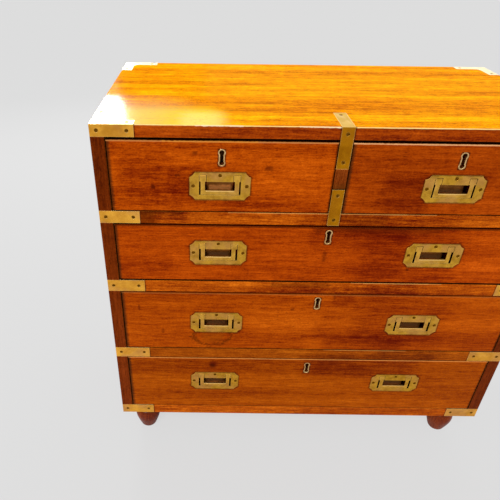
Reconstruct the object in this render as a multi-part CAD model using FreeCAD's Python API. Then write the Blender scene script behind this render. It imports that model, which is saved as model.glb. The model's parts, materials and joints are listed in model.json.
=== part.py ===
"""Campaign chest: two short drawers over three long ones, brass bound, on turned feet.

Millimetres, +Z up. The front faces -Y, the left end is at -X, and the origin is on the floor
under the middle of the case. Every node is written to parts/NODE.step.
"""

import FreeCAD
import Part

import os
from dataclasses import dataclass

# Case
CASE_WIDTH = 853.0
CASE_DEPTH = 440.0
SIDE_THICKNESS = 24.5
TOP_THICKNESS = 22.0
BOTTOM_THICKNESS = 27.0
DIVIDER_THICKNESS = 22.0
DIVIDER_OFFSET = 4.0  # the divider stands this far right of the middle
DIVIDER_HOUSING = 5.0
ARRIS = 0.8  # rounding of the outer edges of the case and of the rails

# Rows of drawer openings and the rails between them, from the top down
SHORT_ROW_HEIGHT = 140.5
UPPER_RAIL_HEIGHT = 25.0
UPPER_ROW_HEIGHT = 131.5
MIDDLE_RAIL_HEIGHT = 27.0
MIDDLE_ROW_HEIGHT = 156.5
LOWER_RAIL_HEIGHT = 27.0
LOWER_ROW_HEIGHT = 160.0

# Rails, runners, dust panels, stops and back
RAIL_DEPTH = 60.0
RAIL_HOUSING = 8.0
RUNNER_WIDTH = 45.0
CENTRE_RUNNER_OVERHANG = 30.0
DUST_PANEL_THICKNESS = 8.0
PANEL_GROOVE = 6.0
BACK_THICKNESS = 12.0
BACK_REBATE = 12.0
BACK_BOARD_COUNT = 5
BACK_BOARD_GAP = 0.6
STOP_LENGTH = 45.0
STOP_WIDTH = 12.0
STOP_HEIGHT = 5.0
STOP_INSET = 70.0
STOP_GAP = 0.3

# Turned feet
FOOT_HEIGHT = 96.0
FOOT_INSET = 52.0
FOOT_TIP_RADIUS = 19.0
FOOT_BULB_RADIUS = 32.0
FOOT_NECK_RADIUS = 22.0
FOOT_RING_RADIUS = 34.0
FOOT_CAP_RADIUS = 38.0
FOOT_BULB_HEIGHT = 60.0
FOOT_NECK_HEIGHT = 7.0
FOOT_RING_HEIGHT = 9.0
FOOT_CAP_HEIGHT = 14.0
STUD_RADIUS = 12.0
STUD_LENGTH = 22.0
STUD_GAP = 0.1

# Drawers
FRONT_THICKNESS = 22.0
FRONT_ARRIS = 1.2
LINING_THICKNESS = 11.0
LINING_DROP = 3.0  # the linings stand this far below the top of the front
DRAWER_BOTTOM_THICKNESS = 7.0
DRAWER_BOTTOM_LIFT = 9.0
DRAWER_GROOVE = 5.0
BACK_SPACE = 10.0
SIDE_GAP = 1.3
BOTTOM_GAP = 1.0
RUNNING_GAP = 0.3
TAIL_LENGTH = 15.0
TAIL_PITCH = 40.0
PIN_WIDTH = 6.0
TAIL_SLOPE = 1.0 / 6.0

# Gap above the front of each drawer, wider where an old front has shrunk more
SHORT_TOP_GAP = 4.8
UPPER_TOP_GAP = 4.2
MIDDLE_TOP_GAP = 2.8
LOWER_TOP_GAP = 2.5

# Height of each handle's centre above the middle of its opening
SHORT_HANDLE_SHIFT = -18.0
UPPER_HANDLE_SHIFT = 2.1
MIDDLE_HANDLE_SHIFT = -2.9
LOWER_HANDLE_SHIFT = 5.9

# Depth of each keyhole's centre below the top of its opening
SHORT_KEY_DROP = 34.8
UPPER_KEY_DROP = 25.3
MIDDLE_KEY_DROP = 26.2
LOWER_KEY_DROP = 28.9

# Flush handle of a drawer
PLATE_WIDTH = 108.0
PLATE_HEIGHT = 54.0
PLATE_THICKNESS = 3.0
PLATE_NOTCH = 10.0
PLATE_NOTCH_HOLLOW = 1.6
WINDOW_WIDTH = 74.0
WINDOW_HEIGHT = 38.5
WINDOW_DROP = 5.5
TAB_WIDTH = 47.0
TAB_HEIGHT = 13.0
PAN_DEPTH = 10.5
GRIP_ARM_WIDTH = 9.3
GRIP_SLIT = 2.6
GRIP_BAR_HEIGHT = 8.0
GRIP_THICKNESS = 5.0
PLATE_SCREW_EDGE = 6.5

# Flush carrying handle of an end
CARRY_PLATE_WIDTH = 150.0
CARRY_PLATE_HEIGHT = 76.0
CARRY_PLATE_THICKNESS = 3.5
CARRY_PLATE_NOTCH = 13.0
CARRY_NOTCH_HOLLOW = 2.0
CARRY_WINDOW_WIDTH = 108.0
CARRY_WINDOW_HEIGHT = 55.0
CARRY_WINDOW_DROP = 7.5
CARRY_TAB_WIDTH = 76.0
CARRY_TAB_HEIGHT = 17.0
CARRY_PAN_DEPTH = 11.0
CARRY_ARM_WIDTH = 11.0
CARRY_SLIT = 3.0
CARRY_BAR_HEIGHT = 10.0
CARRY_GRIP_THICKNESS = 6.5
CARRY_SCREW_EDGE = 9.0

# Shared by both handles
PAN_WALL = 2.5
EAR_DROP = 10.0  # how far the wide ears of the grip reach below its pivot
HINGE_GAP = 0.3
PIN_RADIUS = 1.25
PIN_LENGTH = 1.8
PIN_GAP = 0.05
BAR_BEVEL = 1.8
FIT_GAP = 0.2  # brass let into wood

# Keyhole, its brass thread and the lock
KEYHOLE_HEIGHT = 27.0
KEYHOLE_TOP_RADIUS = 4.3
KEYHOLE_FOOT_RADIUS = 4.0
KEYHOLE_WAIST = 5.8
THREAD_WIDTH = 2.5
THREAD_DEPTH = 4.0
LOCK_BODY_WIDTH = 44.0
LOCK_PLATE_WIDTH = 68.0
LOCK_DEPTH = 10.0
LOCK_WALL = 1.5
LOCK_BELOW_KEY = 20.0
BOLT_WIDTH = 26.0
BOLT_THICKNESS = 6.0
BOLT_LENGTH = 18.0
BOLT_TRAVEL = 9.0
BOLT_GAP = 0.3
BOLT_MORTISE_GAP = 1.0

# Brass straps
STRAP_LENGTH = 74.5
STRAP_THICKNESS = 2.0
BRACKET_LEG = 22.0
BRACKET_FILLET = 12.0
CENTRE_STRAP_DROP = 74.5
CENTRE_STRAP_RUN = 76.0
LOWER_STRAP_RISE = 73.5
STRAP_SCREW_INSET = 12.0

# Slotted countersunk screws
SCREW_HEAD_RADIUS = 3.5
SCREW_SHANK_RADIUS = 1.6
SCREW_HEAD_DEPTH = 1.9
SCREW_SLOT_WIDTH = 0.9
SCREW_SLOT_DEPTH = 0.8
SCREW_GAP = 0.05
PLATE_SCREW_LENGTH = 15.0
STRAP_SCREW_LENGTH = 8.0
LOCK_SCREW_LENGTH = 8.0
SLOT_TURN = 37.0  # each next screw of a row stopped this many degrees further on

# Levels and faces that follow
CASE_FLOOR = FOOT_HEIGHT
LOWER_ROW_Z = CASE_FLOOR + BOTTOM_THICKNESS
LOWER_RAIL_Z = LOWER_ROW_Z + LOWER_ROW_HEIGHT
MIDDLE_ROW_Z = LOWER_RAIL_Z + LOWER_RAIL_HEIGHT
MIDDLE_RAIL_Z = MIDDLE_ROW_Z + MIDDLE_ROW_HEIGHT
UPPER_ROW_Z = MIDDLE_RAIL_Z + MIDDLE_RAIL_HEIGHT
UPPER_RAIL_Z = UPPER_ROW_Z + UPPER_ROW_HEIGHT
SHORT_ROW_Z = UPPER_RAIL_Z + UPPER_RAIL_HEIGHT
TOP_Z = SHORT_ROW_Z + SHORT_ROW_HEIGHT
CASE_TOP = TOP_Z + TOP_THICKNESS
FRONT_Y = -CASE_DEPTH / 2
BACK_Y = CASE_DEPTH / 2
END_X = CASE_WIDTH / 2
INNER_X = END_X - SIDE_THICKNESS
BACK_BOARD_Y = BACK_Y - BACK_THICKNESS
DIVIDER_LEFT = DIVIDER_OFFSET - DIVIDER_THICKNESS / 2
DIVIDER_RIGHT = DIVIDER_OFFSET + DIVIDER_THICKNESS / 2
RAILS = (
    (UPPER_RAIL_Z, UPPER_RAIL_HEIGHT),
    (MIDDLE_RAIL_Z, MIDDLE_RAIL_HEIGHT),
    (LOWER_RAIL_Z, LOWER_RAIL_HEIGHT),
)
ENDS = (-1, 1)


@dataclass(frozen=True)
class Handle:
    """Sizes of a flush handle, seen from outside with its centre at zero."""

    width: float
    height: float
    thickness: float
    notch: float
    hollow: float
    window_width: float
    window_height: float
    window_drop: float
    tab_width: float
    tab_height: float
    pan_depth: float
    arm_width: float
    slit: float
    bar_height: float
    grip_thickness: float
    screw_edge: float

    @property
    def window_top(self):
        return self.height / 2 - self.window_drop

    @property
    def window_foot(self):
        return self.window_top - self.window_height

    @property
    def tab_foot(self):
        return self.window_top - self.tab_height

    @property
    def pivot_depth(self):
        return self.grip_thickness / 2

    @property
    def pivot_height(self):
        return self.window_top - HINGE_GAP - self.pivot_depth

    @property
    def ear_pocket_depth(self):
        return self.grip_thickness + 2 * HINGE_GAP

    @property
    def screw_places(self):
        side = self.width / 2 - self.screw_edge
        return ((0, self.height / 2 - self.screw_edge), (-side, 0), (side, 0))


DRAWER_HANDLE = Handle(
    PLATE_WIDTH, PLATE_HEIGHT, PLATE_THICKNESS, PLATE_NOTCH, PLATE_NOTCH_HOLLOW,
    WINDOW_WIDTH, WINDOW_HEIGHT, WINDOW_DROP, TAB_WIDTH, TAB_HEIGHT, PAN_DEPTH,
    GRIP_ARM_WIDTH, GRIP_SLIT, GRIP_BAR_HEIGHT, GRIP_THICKNESS, PLATE_SCREW_EDGE,
)
CARRY_HANDLE = Handle(
    CARRY_PLATE_WIDTH, CARRY_PLATE_HEIGHT, CARRY_PLATE_THICKNESS, CARRY_PLATE_NOTCH,
    CARRY_NOTCH_HOLLOW, CARRY_WINDOW_WIDTH, CARRY_WINDOW_HEIGHT, CARRY_WINDOW_DROP,
    CARRY_TAB_WIDTH, CARRY_TAB_HEIGHT, CARRY_PAN_DEPTH, CARRY_ARM_WIDTH, CARRY_SLIT,
    CARRY_BAR_HEIGHT, CARRY_GRIP_THICKNESS, CARRY_SCREW_EDGE,
)
CARRY_HEIGHT = UPPER_ROW_Z + UPPER_ROW_HEIGHT / 2


@dataclass(frozen=True)
class Drawer:
    """One drawer, described by its opening in the front of the case."""

    name: str
    left: float
    right: float
    floor: float
    height: float
    handle_places: tuple  # (name of the grip, x of the handle)
    handle_shift: float
    key_drop: float
    top_gap: float

    @property
    def ceiling(self):
        return self.floor + self.height

    @property
    def front_left(self):
        return self.left + SIDE_GAP

    @property
    def front_right(self):
        return self.right - SIDE_GAP

    @property
    def front_foot(self):
        return self.floor + BOTTOM_GAP

    @property
    def front_top(self):
        return self.ceiling - self.top_gap

    @property
    def lining_foot(self):
        return self.floor + RUNNING_GAP

    @property
    def lining_top(self):
        return self.front_top - LINING_DROP

    @property
    def bottom_foot(self):
        return self.lining_foot + DRAWER_BOTTOM_LIFT

    @property
    def bottom_top(self):
        return self.bottom_foot + DRAWER_BOTTOM_THICKNESS

    @property
    def front_back(self):
        return FRONT_Y + FRONT_THICKNESS

    @property
    def rear(self):
        return BACK_BOARD_Y - BACK_SPACE

    @property
    def centre(self):
        return (self.left + self.right) / 2

    @property
    def handle_height(self):
        return self.floor + self.height / 2 + self.handle_shift

    @property
    def key_height(self):
        return self.ceiling - self.key_drop


HANDLE_X = (INNER_X + DIVIDER_THICKNESS / 2) / 2
LONG_GRIPS = (("left", -HANDLE_X), ("right", HANDLE_X))


def long_drawer(name, floor, height, handle_shift, key_drop, top_gap):
    """Drawer across the whole case, its two handles in line with those of the short drawers."""
    places = tuple((f"{name}_{side}", x) for side, x in LONG_GRIPS)
    return Drawer(name, -INNER_X, INNER_X, floor, height, places, handle_shift, key_drop, top_gap)


def short_drawer(name, left, right, handle_x):
    """Drawer on one side of the centre divider, with one handle."""
    places = ((name, handle_x),)
    return Drawer(
        name, left, right, SHORT_ROW_Z, SHORT_ROW_HEIGHT, places,
        SHORT_HANDLE_SHIFT, SHORT_KEY_DROP, SHORT_TOP_GAP,
    )


DRAWERS = (
    short_drawer("left_short", -INNER_X, DIVIDER_LEFT, -HANDLE_X),
    short_drawer("right_short", DIVIDER_RIGHT, INNER_X, HANDLE_X),
    long_drawer(
        "upper_long", UPPER_ROW_Z, UPPER_ROW_HEIGHT, UPPER_HANDLE_SHIFT, UPPER_KEY_DROP, UPPER_TOP_GAP
    ),
    long_drawer(
        "middle_long", MIDDLE_ROW_Z, MIDDLE_ROW_HEIGHT, MIDDLE_HANDLE_SHIFT, MIDDLE_KEY_DROP, MIDDLE_TOP_GAP
    ),
    long_drawer(
        "lower_long", LOWER_ROW_Z, LOWER_ROW_HEIGHT, LOWER_HANDLE_SHIFT, LOWER_KEY_DROP, LOWER_TOP_GAP
    ),
)


# Shapes


def vector(x, y, z):
    return FreeCAD.Vector(x, y, z)


def block(x_pair, y_pair, z_pair):
    """Box between two values on each axis, given in either order."""
    low = [min(pair) for pair in (x_pair, y_pair, z_pair)]
    size = [abs(pair[1] - pair[0]) for pair in (x_pair, y_pair, z_pair)]
    return Part.makeBox(*size, vector(*low))


def rod(radius, start, end):
    """Cylinder of a radius between two points."""
    along = end - start
    return Part.makeCylinder(radius, along.Length, start, along)


def join(shapes):
    """One clean solid from shapes that meet."""
    return shapes[0].fuse(list(shapes[1:])).removeSplitter()


def carve(shape, tools):
    """Shape less every tool whose box meets its own."""
    near = [tool for tool in tools if shape.BoundBox.intersect(tool.BoundBox)]
    return shape.cut(near) if near else shape


def group(shapes):
    """Separate solids in one node."""
    return Part.makeCompound([solid for shape in shapes for solid in shape.Solids])


def on_face(shape, face, across, up):
    """Place a shape made for a front face, with +Y going into the wood, on a face of the case."""
    turn, axis, place = {
        "front": (0, vector(0, 0, 1), vector(across, FRONT_Y, up)),
        "back": (180, vector(0, 0, 1), vector(across, BACK_Y, up)),
        "left": (-90, vector(0, 0, 1), vector(-END_X, across, up)),
        "right": (90, vector(0, 0, 1), vector(END_X, across, up)),
        "top": (-90, vector(1, 0, 0), vector(across, up, CASE_TOP)),
    }[face]
    placed = shape.copy()
    placed.rotate(vector(0, 0, 0), axis, turn)
    placed.translate(place)
    return placed


def moved(shape, x, y, z):
    placed = shape.copy()
    placed.translate(vector(x, y, z))
    return placed


# Screws


def screw_blank(length, gap=0.0):
    """Countersunk screw along +Y with its head at Y = 0; with a gap, the hole that takes it."""
    along = vector(0, 1, 0)
    head = Part.makeCone(
        SCREW_HEAD_RADIUS + gap, SCREW_SHANK_RADIUS + gap, SCREW_HEAD_DEPTH, vector(0, 0, 0), along
    )
    shank = rod(SCREW_SHANK_RADIUS + gap, vector(0, SCREW_HEAD_DEPTH, 0), vector(0, length + gap, 0))
    return join([head, shank])


def screw(length, turn):
    """Screw with its slot turned by an angle."""
    half = SCREW_HEAD_RADIUS + 1
    slot = block((-half, half), (0, SCREW_SLOT_DEPTH), (-SCREW_SLOT_WIDTH / 2, SCREW_SLOT_WIDTH / 2))
    slot.rotate(vector(0, 0, 0), vector(0, 1, 0), turn)
    return screw_blank(length).cut(slot)


# Flush handles


def plate_outline(handle, grow, depth):
    """Plate with hollow corners, from the face to a depth."""
    x = handle.width / 2 + grow
    z = handle.height / 2 + grow
    inset = handle.notch / 2 + handle.hollow / 2**0.5
    edges = []
    corners = ((1, 1), (-1, 1), (-1, -1), (1, -1))
    ends = []
    for sx, sz in corners:
        along = vector(sx * (x - handle.notch), 0, sz * z)
        down = vector(sx * x, 0, sz * (z - handle.notch))
        middle = vector(sx * (x - inset), 0, sz * (z - inset))
        first, last = (down, along) if sx * sz > 0 else (along, down)
        edges.append(Part.Arc(first, middle, last).toShape())
        ends.append((first, last))
    for (_, last), (first, _) in zip(ends, ends[1:] + ends[:1]):
        edges.append(Part.LineSegment(last, first).toShape())
    face = Part.Face(Part.Wire(Part.__sortEdges__(edges)))
    return face.extrude(vector(0, depth, 0))


def pan_boxes(handle, wall, gap=0.0):
    """Pan behind the plate and its two ear pockets: outer boxes with a wall, inner ones with none."""
    x = handle.window_width / 2 + wall + gap
    tab = handle.tab_width / 2 - wall - gap
    foot = handle.window_foot - wall - gap
    top = handle.window_top + wall + gap
    start = handle.thickness
    pan = block(
        (-x, x), (start, start + handle.pan_depth + wall + gap), (foot, handle.tab_foot + wall + gap)
    )
    ears = [
        block((side * tab, side * x), (start, handle.ear_pocket_depth + wall + gap), (foot, top))
        for side in ENDS
    ]
    return [pan] + ears


def handle_plate(handle):
    """Cast plate with the pan behind it, the window for the grip and its two pivot holes."""
    body = join([plate_outline(handle, 0, handle.thickness)] + pan_boxes(handle, PAN_WALL))
    x = handle.window_width / 2
    window = block((-x, x), (0, handle.thickness), (handle.window_foot, handle.window_top))
    tab_x = handle.tab_width / 2
    tab = block((-tab_x, tab_x), (0, handle.thickness), (handle.tab_foot, handle.window_top))
    tools = [window.cut(tab)] + pan_boxes(handle, 0)
    tools += [grip_pin(handle, side, PIN_GAP) for side in ENDS]
    tools += [moved(screw_blank(PLATE_SCREW_LENGTH, SCREW_GAP), x, 0, z) for x, z in handle.screw_places]
    return body.cut(tools)


def handle_pocket(handle):
    """What is cut from the wood to let a plate and its pan in."""
    return join([plate_outline(handle, FIT_GAP, handle.thickness)] + pan_boxes(handle, PAN_WALL, FIT_GAP))


def grip_pin(handle, side, gap=0.0):
    """Stub on which one ear of the grip turns, or with a gap the hole that takes it."""
    start = handle.window_width / 2 - HINGE_GAP
    end = handle.window_width / 2 + PIN_LENGTH + gap
    depth, height = handle.pivot_depth, handle.pivot_height
    return rod(PIN_RADIUS + gap, vector(side * start, depth, height), vector(side * end, depth, height))


def grip(handle):
    """U-shaped lifting grip lying flush in its plate, with a pivot stub on each ear."""
    thick = handle.grip_thickness
    ear_out = handle.window_width / 2 - HINGE_GAP
    ear_in = handle.tab_width / 2 + HINGE_GAP
    arm_out = handle.window_width / 2 - handle.slit
    arm_in = arm_out - handle.arm_width
    foot = handle.window_foot + HINGE_GAP
    bar_top = foot + handle.bar_height
    pivot = handle.pivot_height
    profile = [
        vector(-arm_out, 0, foot),
        vector(-arm_out, 0, bar_top - BAR_BEVEL),
        vector(-arm_out, BAR_BEVEL, bar_top),
        vector(-arm_out, thick, bar_top),
        vector(-arm_out, thick, foot),
    ]
    bar = Part.Face(Part.makePolygon(profile + profile[:1])).extrude(vector(2 * arm_out, 0, 0))
    pieces = [bar]
    for side in ENDS:
        pieces.append(block((side * arm_in, side * arm_out), (0, thick), (foot, pivot)))
        pieces.append(block((side * ear_in, side * ear_out), (0, thick), (pivot - EAR_DROP, pivot)))
        axis_start = vector(side * ear_in, handle.pivot_depth, pivot)
        axis_end = vector(side * ear_out, handle.pivot_depth, pivot)
        pieces.append(rod(thick / 2, axis_start, axis_end))
        pieces.append(grip_pin(handle, side))
    return join(pieces)


# Keyholes and locks


def keyhole(grow, start, end):
    """Keyhole shape centred on zero, grown outwards, between two depths."""
    top = KEYHOLE_HEIGHT / 2 - KEYHOLE_TOP_RADIUS
    foot = KEYHOLE_FOOT_RADIUS - KEYHOLE_HEIGHT / 2
    waist = KEYHOLE_WAIST / 2 + grow
    return join([
        rod(KEYHOLE_TOP_RADIUS + grow, vector(0, start, top), vector(0, end, top)),
        rod(KEYHOLE_FOOT_RADIUS + grow, vector(0, start, foot), vector(0, end, foot)),
        block((-waist, waist), (start, end), (foot, top)),
    ])


def key_thread(drawer):
    """Brass thread that lines the mouth of the keyhole."""
    ring = keyhole(THREAD_WIDTH, 0, THREAD_DEPTH).cut(keyhole(0, 0, THREAD_DEPTH))
    return moved(ring, drawer.centre, FRONT_Y, drawer.key_height)


def lock_blank(drawer):
    """Outside of the lock: its box, the plate round it and the selvage on the drawer's top edge."""
    x, back = drawer.centre, drawer.front_back
    foot, top = drawer.key_height - LOCK_BELOW_KEY, drawer.front_top
    body, plate = LOCK_BODY_WIDTH / 2, LOCK_PLATE_WIDTH / 2
    return join([
        block((x - body, x + body), (back - LOCK_DEPTH, back), (foot, top)),
        block((x - plate, x + plate), (back - LOCK_WALL, back), (foot, top)),
        block((x - plate, x + plate), (back - LOCK_DEPTH, back), (top - LOCK_WALL, top)),
    ])


def bolt_blank(drawer, gap, lift):
    """Bolt of the lock with a gap all round, or the slot of its travel with a lift."""
    x = drawer.centre
    half = BOLT_WIDTH / 2 + gap
    middle = drawer.front_back - LOCK_DEPTH / 2
    thick = BOLT_THICKNESS / 2 + gap
    top = drawer.front_top - BOLT_GAP
    return block((x - half, x + half), (middle - thick, middle + thick), (top - BOLT_LENGTH, top + lift))


def lock_screw_places(drawer):
    """Centres of the four screws in the ears of the lock plate."""
    x = (LOCK_PLATE_WIDTH + LOCK_BODY_WIDTH) / 4
    high = drawer.front_top - LOCK_SCREW_LENGTH
    low = drawer.key_height - LOCK_BELOW_KEY + LOCK_SCREW_LENGTH
    return [(drawer.centre + side * x, z) for side in ENDS for z in (low, high)]


def lock_screws(drawer, shape):
    """A screw, or its hole, driven forwards at each ear of the lock plate."""
    turned = shape.copy()
    turned.rotate(vector(0, 0, 0), vector(0, 0, 1), 180)
    return [moved(turned, x, drawer.front_back, z) for x, z in lock_screw_places(drawer)]


def lock_case(drawer):
    """Hollow lock with a slot for its bolt and a keyhole in its front."""
    x, back = drawer.centre, drawer.front_back
    half = LOCK_BODY_WIDTH / 2 - LOCK_WALL
    cavity = block(
        (x - half, x + half),
        (back - LOCK_DEPTH + LOCK_WALL, back - LOCK_WALL),
        (drawer.key_height - LOCK_BELOW_KEY + LOCK_WALL, drawer.front_top - LOCK_WALL),
    )
    slot = bolt_blank(drawer, BOLT_GAP, BOLT_TRAVEL)
    mouth = keyhole(0, FRONT_THICKNESS - LOCK_DEPTH, FRONT_THICKNESS - LOCK_DEPTH + LOCK_WALL)
    holes = lock_screws(drawer, screw_blank(LOCK_SCREW_LENGTH, SCREW_GAP))
    return lock_blank(drawer).cut([cavity, slot, moved(mouth, x, FRONT_Y, drawer.key_height)] + holes)


def bolt_mortise(drawer):
    """Slot in the rail or board above the drawer that takes the raised bolt."""
    return bolt_blank(drawer, BOLT_MORTISE_GAP, BOLT_TRAVEL + BOLT_MORTISE_GAP)


# Drawer woodwork


def lining_side(drawer, side):
    """Drawer side with its row of tails for the lapped dovetails in the front."""
    outer = drawer.front_right if side > 0 else drawer.front_left
    inner = outer - side * LINING_THICKNESS
    foot, top = drawer.lining_foot, drawer.lining_top
    back = drawer.front_back
    board = block((outer, inner), (back, drawer.rear), (foot, top))
    count = max(2, round((top - drawer.front_foot) / TAIL_PITCH))
    pitch = (top - drawer.front_foot) / count
    wide = (pitch - PIN_WIDTH) / 2
    narrow = wide - TAIL_LENGTH * TAIL_SLOPE
    pieces = [board]
    for i in range(count):
        z = drawer.front_foot + (i + 0.5) * pitch
        corners = [
            vector(min(outer, inner), back, z - narrow),
            vector(min(outer, inner), back - TAIL_LENGTH, z - wide),
            vector(min(outer, inner), back - TAIL_LENGTH, z + wide),
            vector(min(outer, inner), back, z + narrow),
        ]
        tail = Part.Face(Part.makePolygon(corners + corners[:1]))
        pieces.append(tail.extrude(vector(LINING_THICKNESS, 0, 0)))
    return join(pieces)


def drawer_bottom(drawer):
    """Bottom board, held in grooves of the front and the sides and running out under the back."""
    inset = LINING_THICKNESS - DRAWER_GROOVE
    return block(
        (drawer.front_left + inset, drawer.front_right - inset),
        (drawer.front_back - DRAWER_GROOVE, drawer.rear),
        (drawer.bottom_foot, drawer.bottom_top),
    )


def drawer_back(drawer):
    """Back board, standing on the bottom and housed in the sides."""
    inset = LINING_THICKNESS - DRAWER_GROOVE
    return block(
        (drawer.front_left + inset, drawer.front_right - inset),
        (drawer.rear - 2 * LINING_THICKNESS, drawer.rear - LINING_THICKNESS),
        (drawer.bottom_top, drawer.lining_top),
    )


def drawer_front_blank(drawer):
    """Front board with rounded arrises round its face."""
    board = block(
        (drawer.front_left, drawer.front_right),
        (FRONT_Y, drawer.front_back),
        (drawer.front_foot, drawer.front_top),
    )
    edges = [edge for edge in board.Edges if edge.BoundBox.YMax < FRONT_Y + ARRIS]
    return board.makeFillet(FRONT_ARRIS, edges)


def drawer_nodes(drawer):
    """All nodes of one drawer by name."""
    name = drawer.name
    z = drawer.handle_height
    bottom = drawer_bottom(drawer)
    back = drawer_back(drawer)
    raw_sides = [lining_side(drawer, side) for side in ENDS]
    sides = [side.cut([bottom, back]) for side in raw_sides]

    hole = screw_blank(PLATE_SCREW_LENGTH, SCREW_GAP)
    tools = raw_sides + [bottom, lock_blank(drawer)]
    tools += lock_screws(drawer, screw_blank(LOCK_SCREW_LENGTH, SCREW_GAP))
    keyway = join([keyhole(THREAD_WIDTH, 0, THREAD_DEPTH), keyhole(0, 0, FRONT_THICKNESS - LOCK_DEPTH)])
    tools.append(moved(keyway, drawer.centre, FRONT_Y, drawer.key_height))
    plates, screws, grips = [], [], {}
    for place, (grip_name, x) in enumerate(drawer.handle_places):
        tools.append(on_face(handle_pocket(DRAWER_HANDLE), "front", x, z))
        plates.append(on_face(handle_plate(DRAWER_HANDLE), "front", x, z))
        grips[f"{grip_name}_grip"] = on_face(grip(DRAWER_HANDLE), "front", x, z)
        for order, (dx, dz) in enumerate(DRAWER_HANDLE.screw_places):
            tools.append(on_face(hole, "front", x + dx, z + dz))
            turned = screw(PLATE_SCREW_LENGTH, SLOT_TURN * (order + 2 * place))
            screws.append(on_face(turned, "front", x + dx, z + dz))
    screws += lock_screws(drawer, screw(LOCK_SCREW_LENGTH, SLOT_TURN))

    return {
        f"{name}_drawer_front": carve(drawer_front_blank(drawer), tools),
        f"{name}_drawer_box": group(sides + [back, bottom]),
        f"{name}_handle_plate{'s' if len(plates) > 1 else ''}": group(plates),
        f"{name}_screws": group(screws),
        f"{name}_keyhole_thread": key_thread(drawer),
        f"{name}_lock_case": lock_case(drawer),
        f"{name}_lock_bolt": bolt_blank(drawer, 0, 0),
        **grips,
    }


# Brass binding


def corner_strap(side, face, foot, top):
    """Strap bent round an upright corner; side is -1 or 1 in X and face -1 or 1 in Y."""
    x, y = side * END_X, face * BACK_Y
    return join([
        block((x, x - side * STRAP_LENGTH), (y, y - face * STRAP_THICKNESS), (foot, top)),
        block((x, x - side * STRAP_THICKNESS), (y, y - face * STRAP_LENGTH), (foot, top)),
    ])


def top_bracket(side, face):
    """Three-way bracket on a top corner, with an L on the top whose inner corner is rounded."""
    x, y = side * END_X, face * BACK_Y
    levels = (CASE_TOP - STRAP_THICKNESS, CASE_TOP)
    inner_x, inner_y = x - side * BRACKET_LEG, y - face * BRACKET_LEG
    web = block((inner_x, inner_x - side * BRACKET_FILLET), (inner_y, inner_y - face * BRACKET_FILLET), levels)
    hollow_x = inner_x - side * BRACKET_FILLET
    hollow_y = inner_y - face * BRACKET_FILLET
    hollow = rod(BRACKET_FILLET, vector(hollow_x, hollow_y, levels[0]), vector(hollow_x, hollow_y, levels[1]))
    return join([
        corner_strap(side, face, TOP_Z, CASE_TOP),
        block((x, x - side * STRAP_LENGTH), (y, inner_y), levels),
        block((x, inner_x), (y, y - face * STRAP_LENGTH), levels),
        web.cut(hollow),
    ])


def corner_straps():
    """Top brackets and base straps on all four corners, rail straps on the two in front."""
    straps = [top_bracket(side, face) for side in ENDS for face in ENDS]
    straps += [corner_strap(side, face, CASE_FLOOR, LOWER_ROW_Z) for side in ENDS for face in ENDS]
    straps += [corner_strap(side, -1, z, z + height) for side in ENDS for z, height in RAILS]
    return straps


def centre_straps():
    """Strap over the front edge of the top and down the divider, and one from divider to rail."""
    front = (FRONT_Y, FRONT_Y + STRAP_THICKNESS)
    upper = join([
        block((DIVIDER_LEFT, DIVIDER_RIGHT), front, (CASE_TOP - CENTRE_STRAP_DROP, CASE_TOP)),
        block(
            (DIVIDER_LEFT, DIVIDER_RIGHT),
            (FRONT_Y, FRONT_Y + CENTRE_STRAP_RUN),
            (CASE_TOP - STRAP_THICKNESS, CASE_TOP),
        ),
    ])
    lower = block((DIVIDER_LEFT, DIVIDER_RIGHT), front, (UPPER_RAIL_Z, UPPER_RAIL_Z + LOWER_STRAP_RISE))
    return [upper, lower]


def strap_screw_places():
    """Face, position across and position up of every screw in the brass binding."""
    near, far = STRAP_SCREW_INSET, STRAP_LENGTH - STRAP_SCREW_INSET
    top_middle = (TOP_Z + CASE_TOP) / 2
    base_middle = (CASE_FLOOR + LOWER_ROW_Z) / 2
    front_levels = [top_middle, base_middle] + [z + height / 2 for z, height in RAILS]
    back_levels = [top_middle, base_middle]
    places = []
    for face, name, levels in ((-1, "front", front_levels), (1, "back", back_levels)):
        for side, end_name in ((-1, "left"), (1, "right")):
            for z in levels:
                for run in (near, far):
                    places.append((name, side * (END_X - run), z))
                    places.append((end_name, face * (BACK_Y - run), z))
            places.append(("top", side * (END_X - far), face * (BACK_Y - BRACKET_LEG / 2)))
            places.append(("top", side * (END_X - BRACKET_LEG / 2), face * (BACK_Y - far)))
    upper_foot = CASE_TOP - CENTRE_STRAP_DROP
    lower_top = UPPER_RAIL_Z + LOWER_STRAP_RISE
    for z in (CASE_TOP - near, upper_foot + near, lower_top - near, UPPER_RAIL_Z + near):
        places.append(("front", DIVIDER_OFFSET, z))
    places.append(("top", DIVIDER_OFFSET, FRONT_Y + CENTRE_STRAP_RUN - near))
    return places


def carry_screw_places():
    """Face, position across and position up of the screws in the two carrying handles."""
    return [
        (face, dx, CARRY_HEIGHT + dz) for face in ("left", "right") for dx, dz in CARRY_HANDLE.screw_places
    ]


# Case woodwork


def case_envelope():
    """Outside of the case with its twelve edges rounded."""
    whole = block((-END_X, END_X), (FRONT_Y, BACK_Y), (CASE_FLOOR, CASE_TOP))
    return whole.makeFillet(ARRIS, whole.Edges)


def front_rail(z, height):
    """Rail between two rows, housed in the ends, with its two front arrises rounded."""
    end = INNER_X + RAIL_HOUSING
    rail = block((-end, end), (FRONT_Y, FRONT_Y + RAIL_DEPTH), (z, z + height))
    edges = [
        edge for edge in rail.Edges
        if edge.BoundBox.YMax < FRONT_Y + ARRIS and edge.BoundBox.XLength > RAIL_DEPTH
    ]
    return rail.makeFillet(ARRIS, edges)


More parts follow.
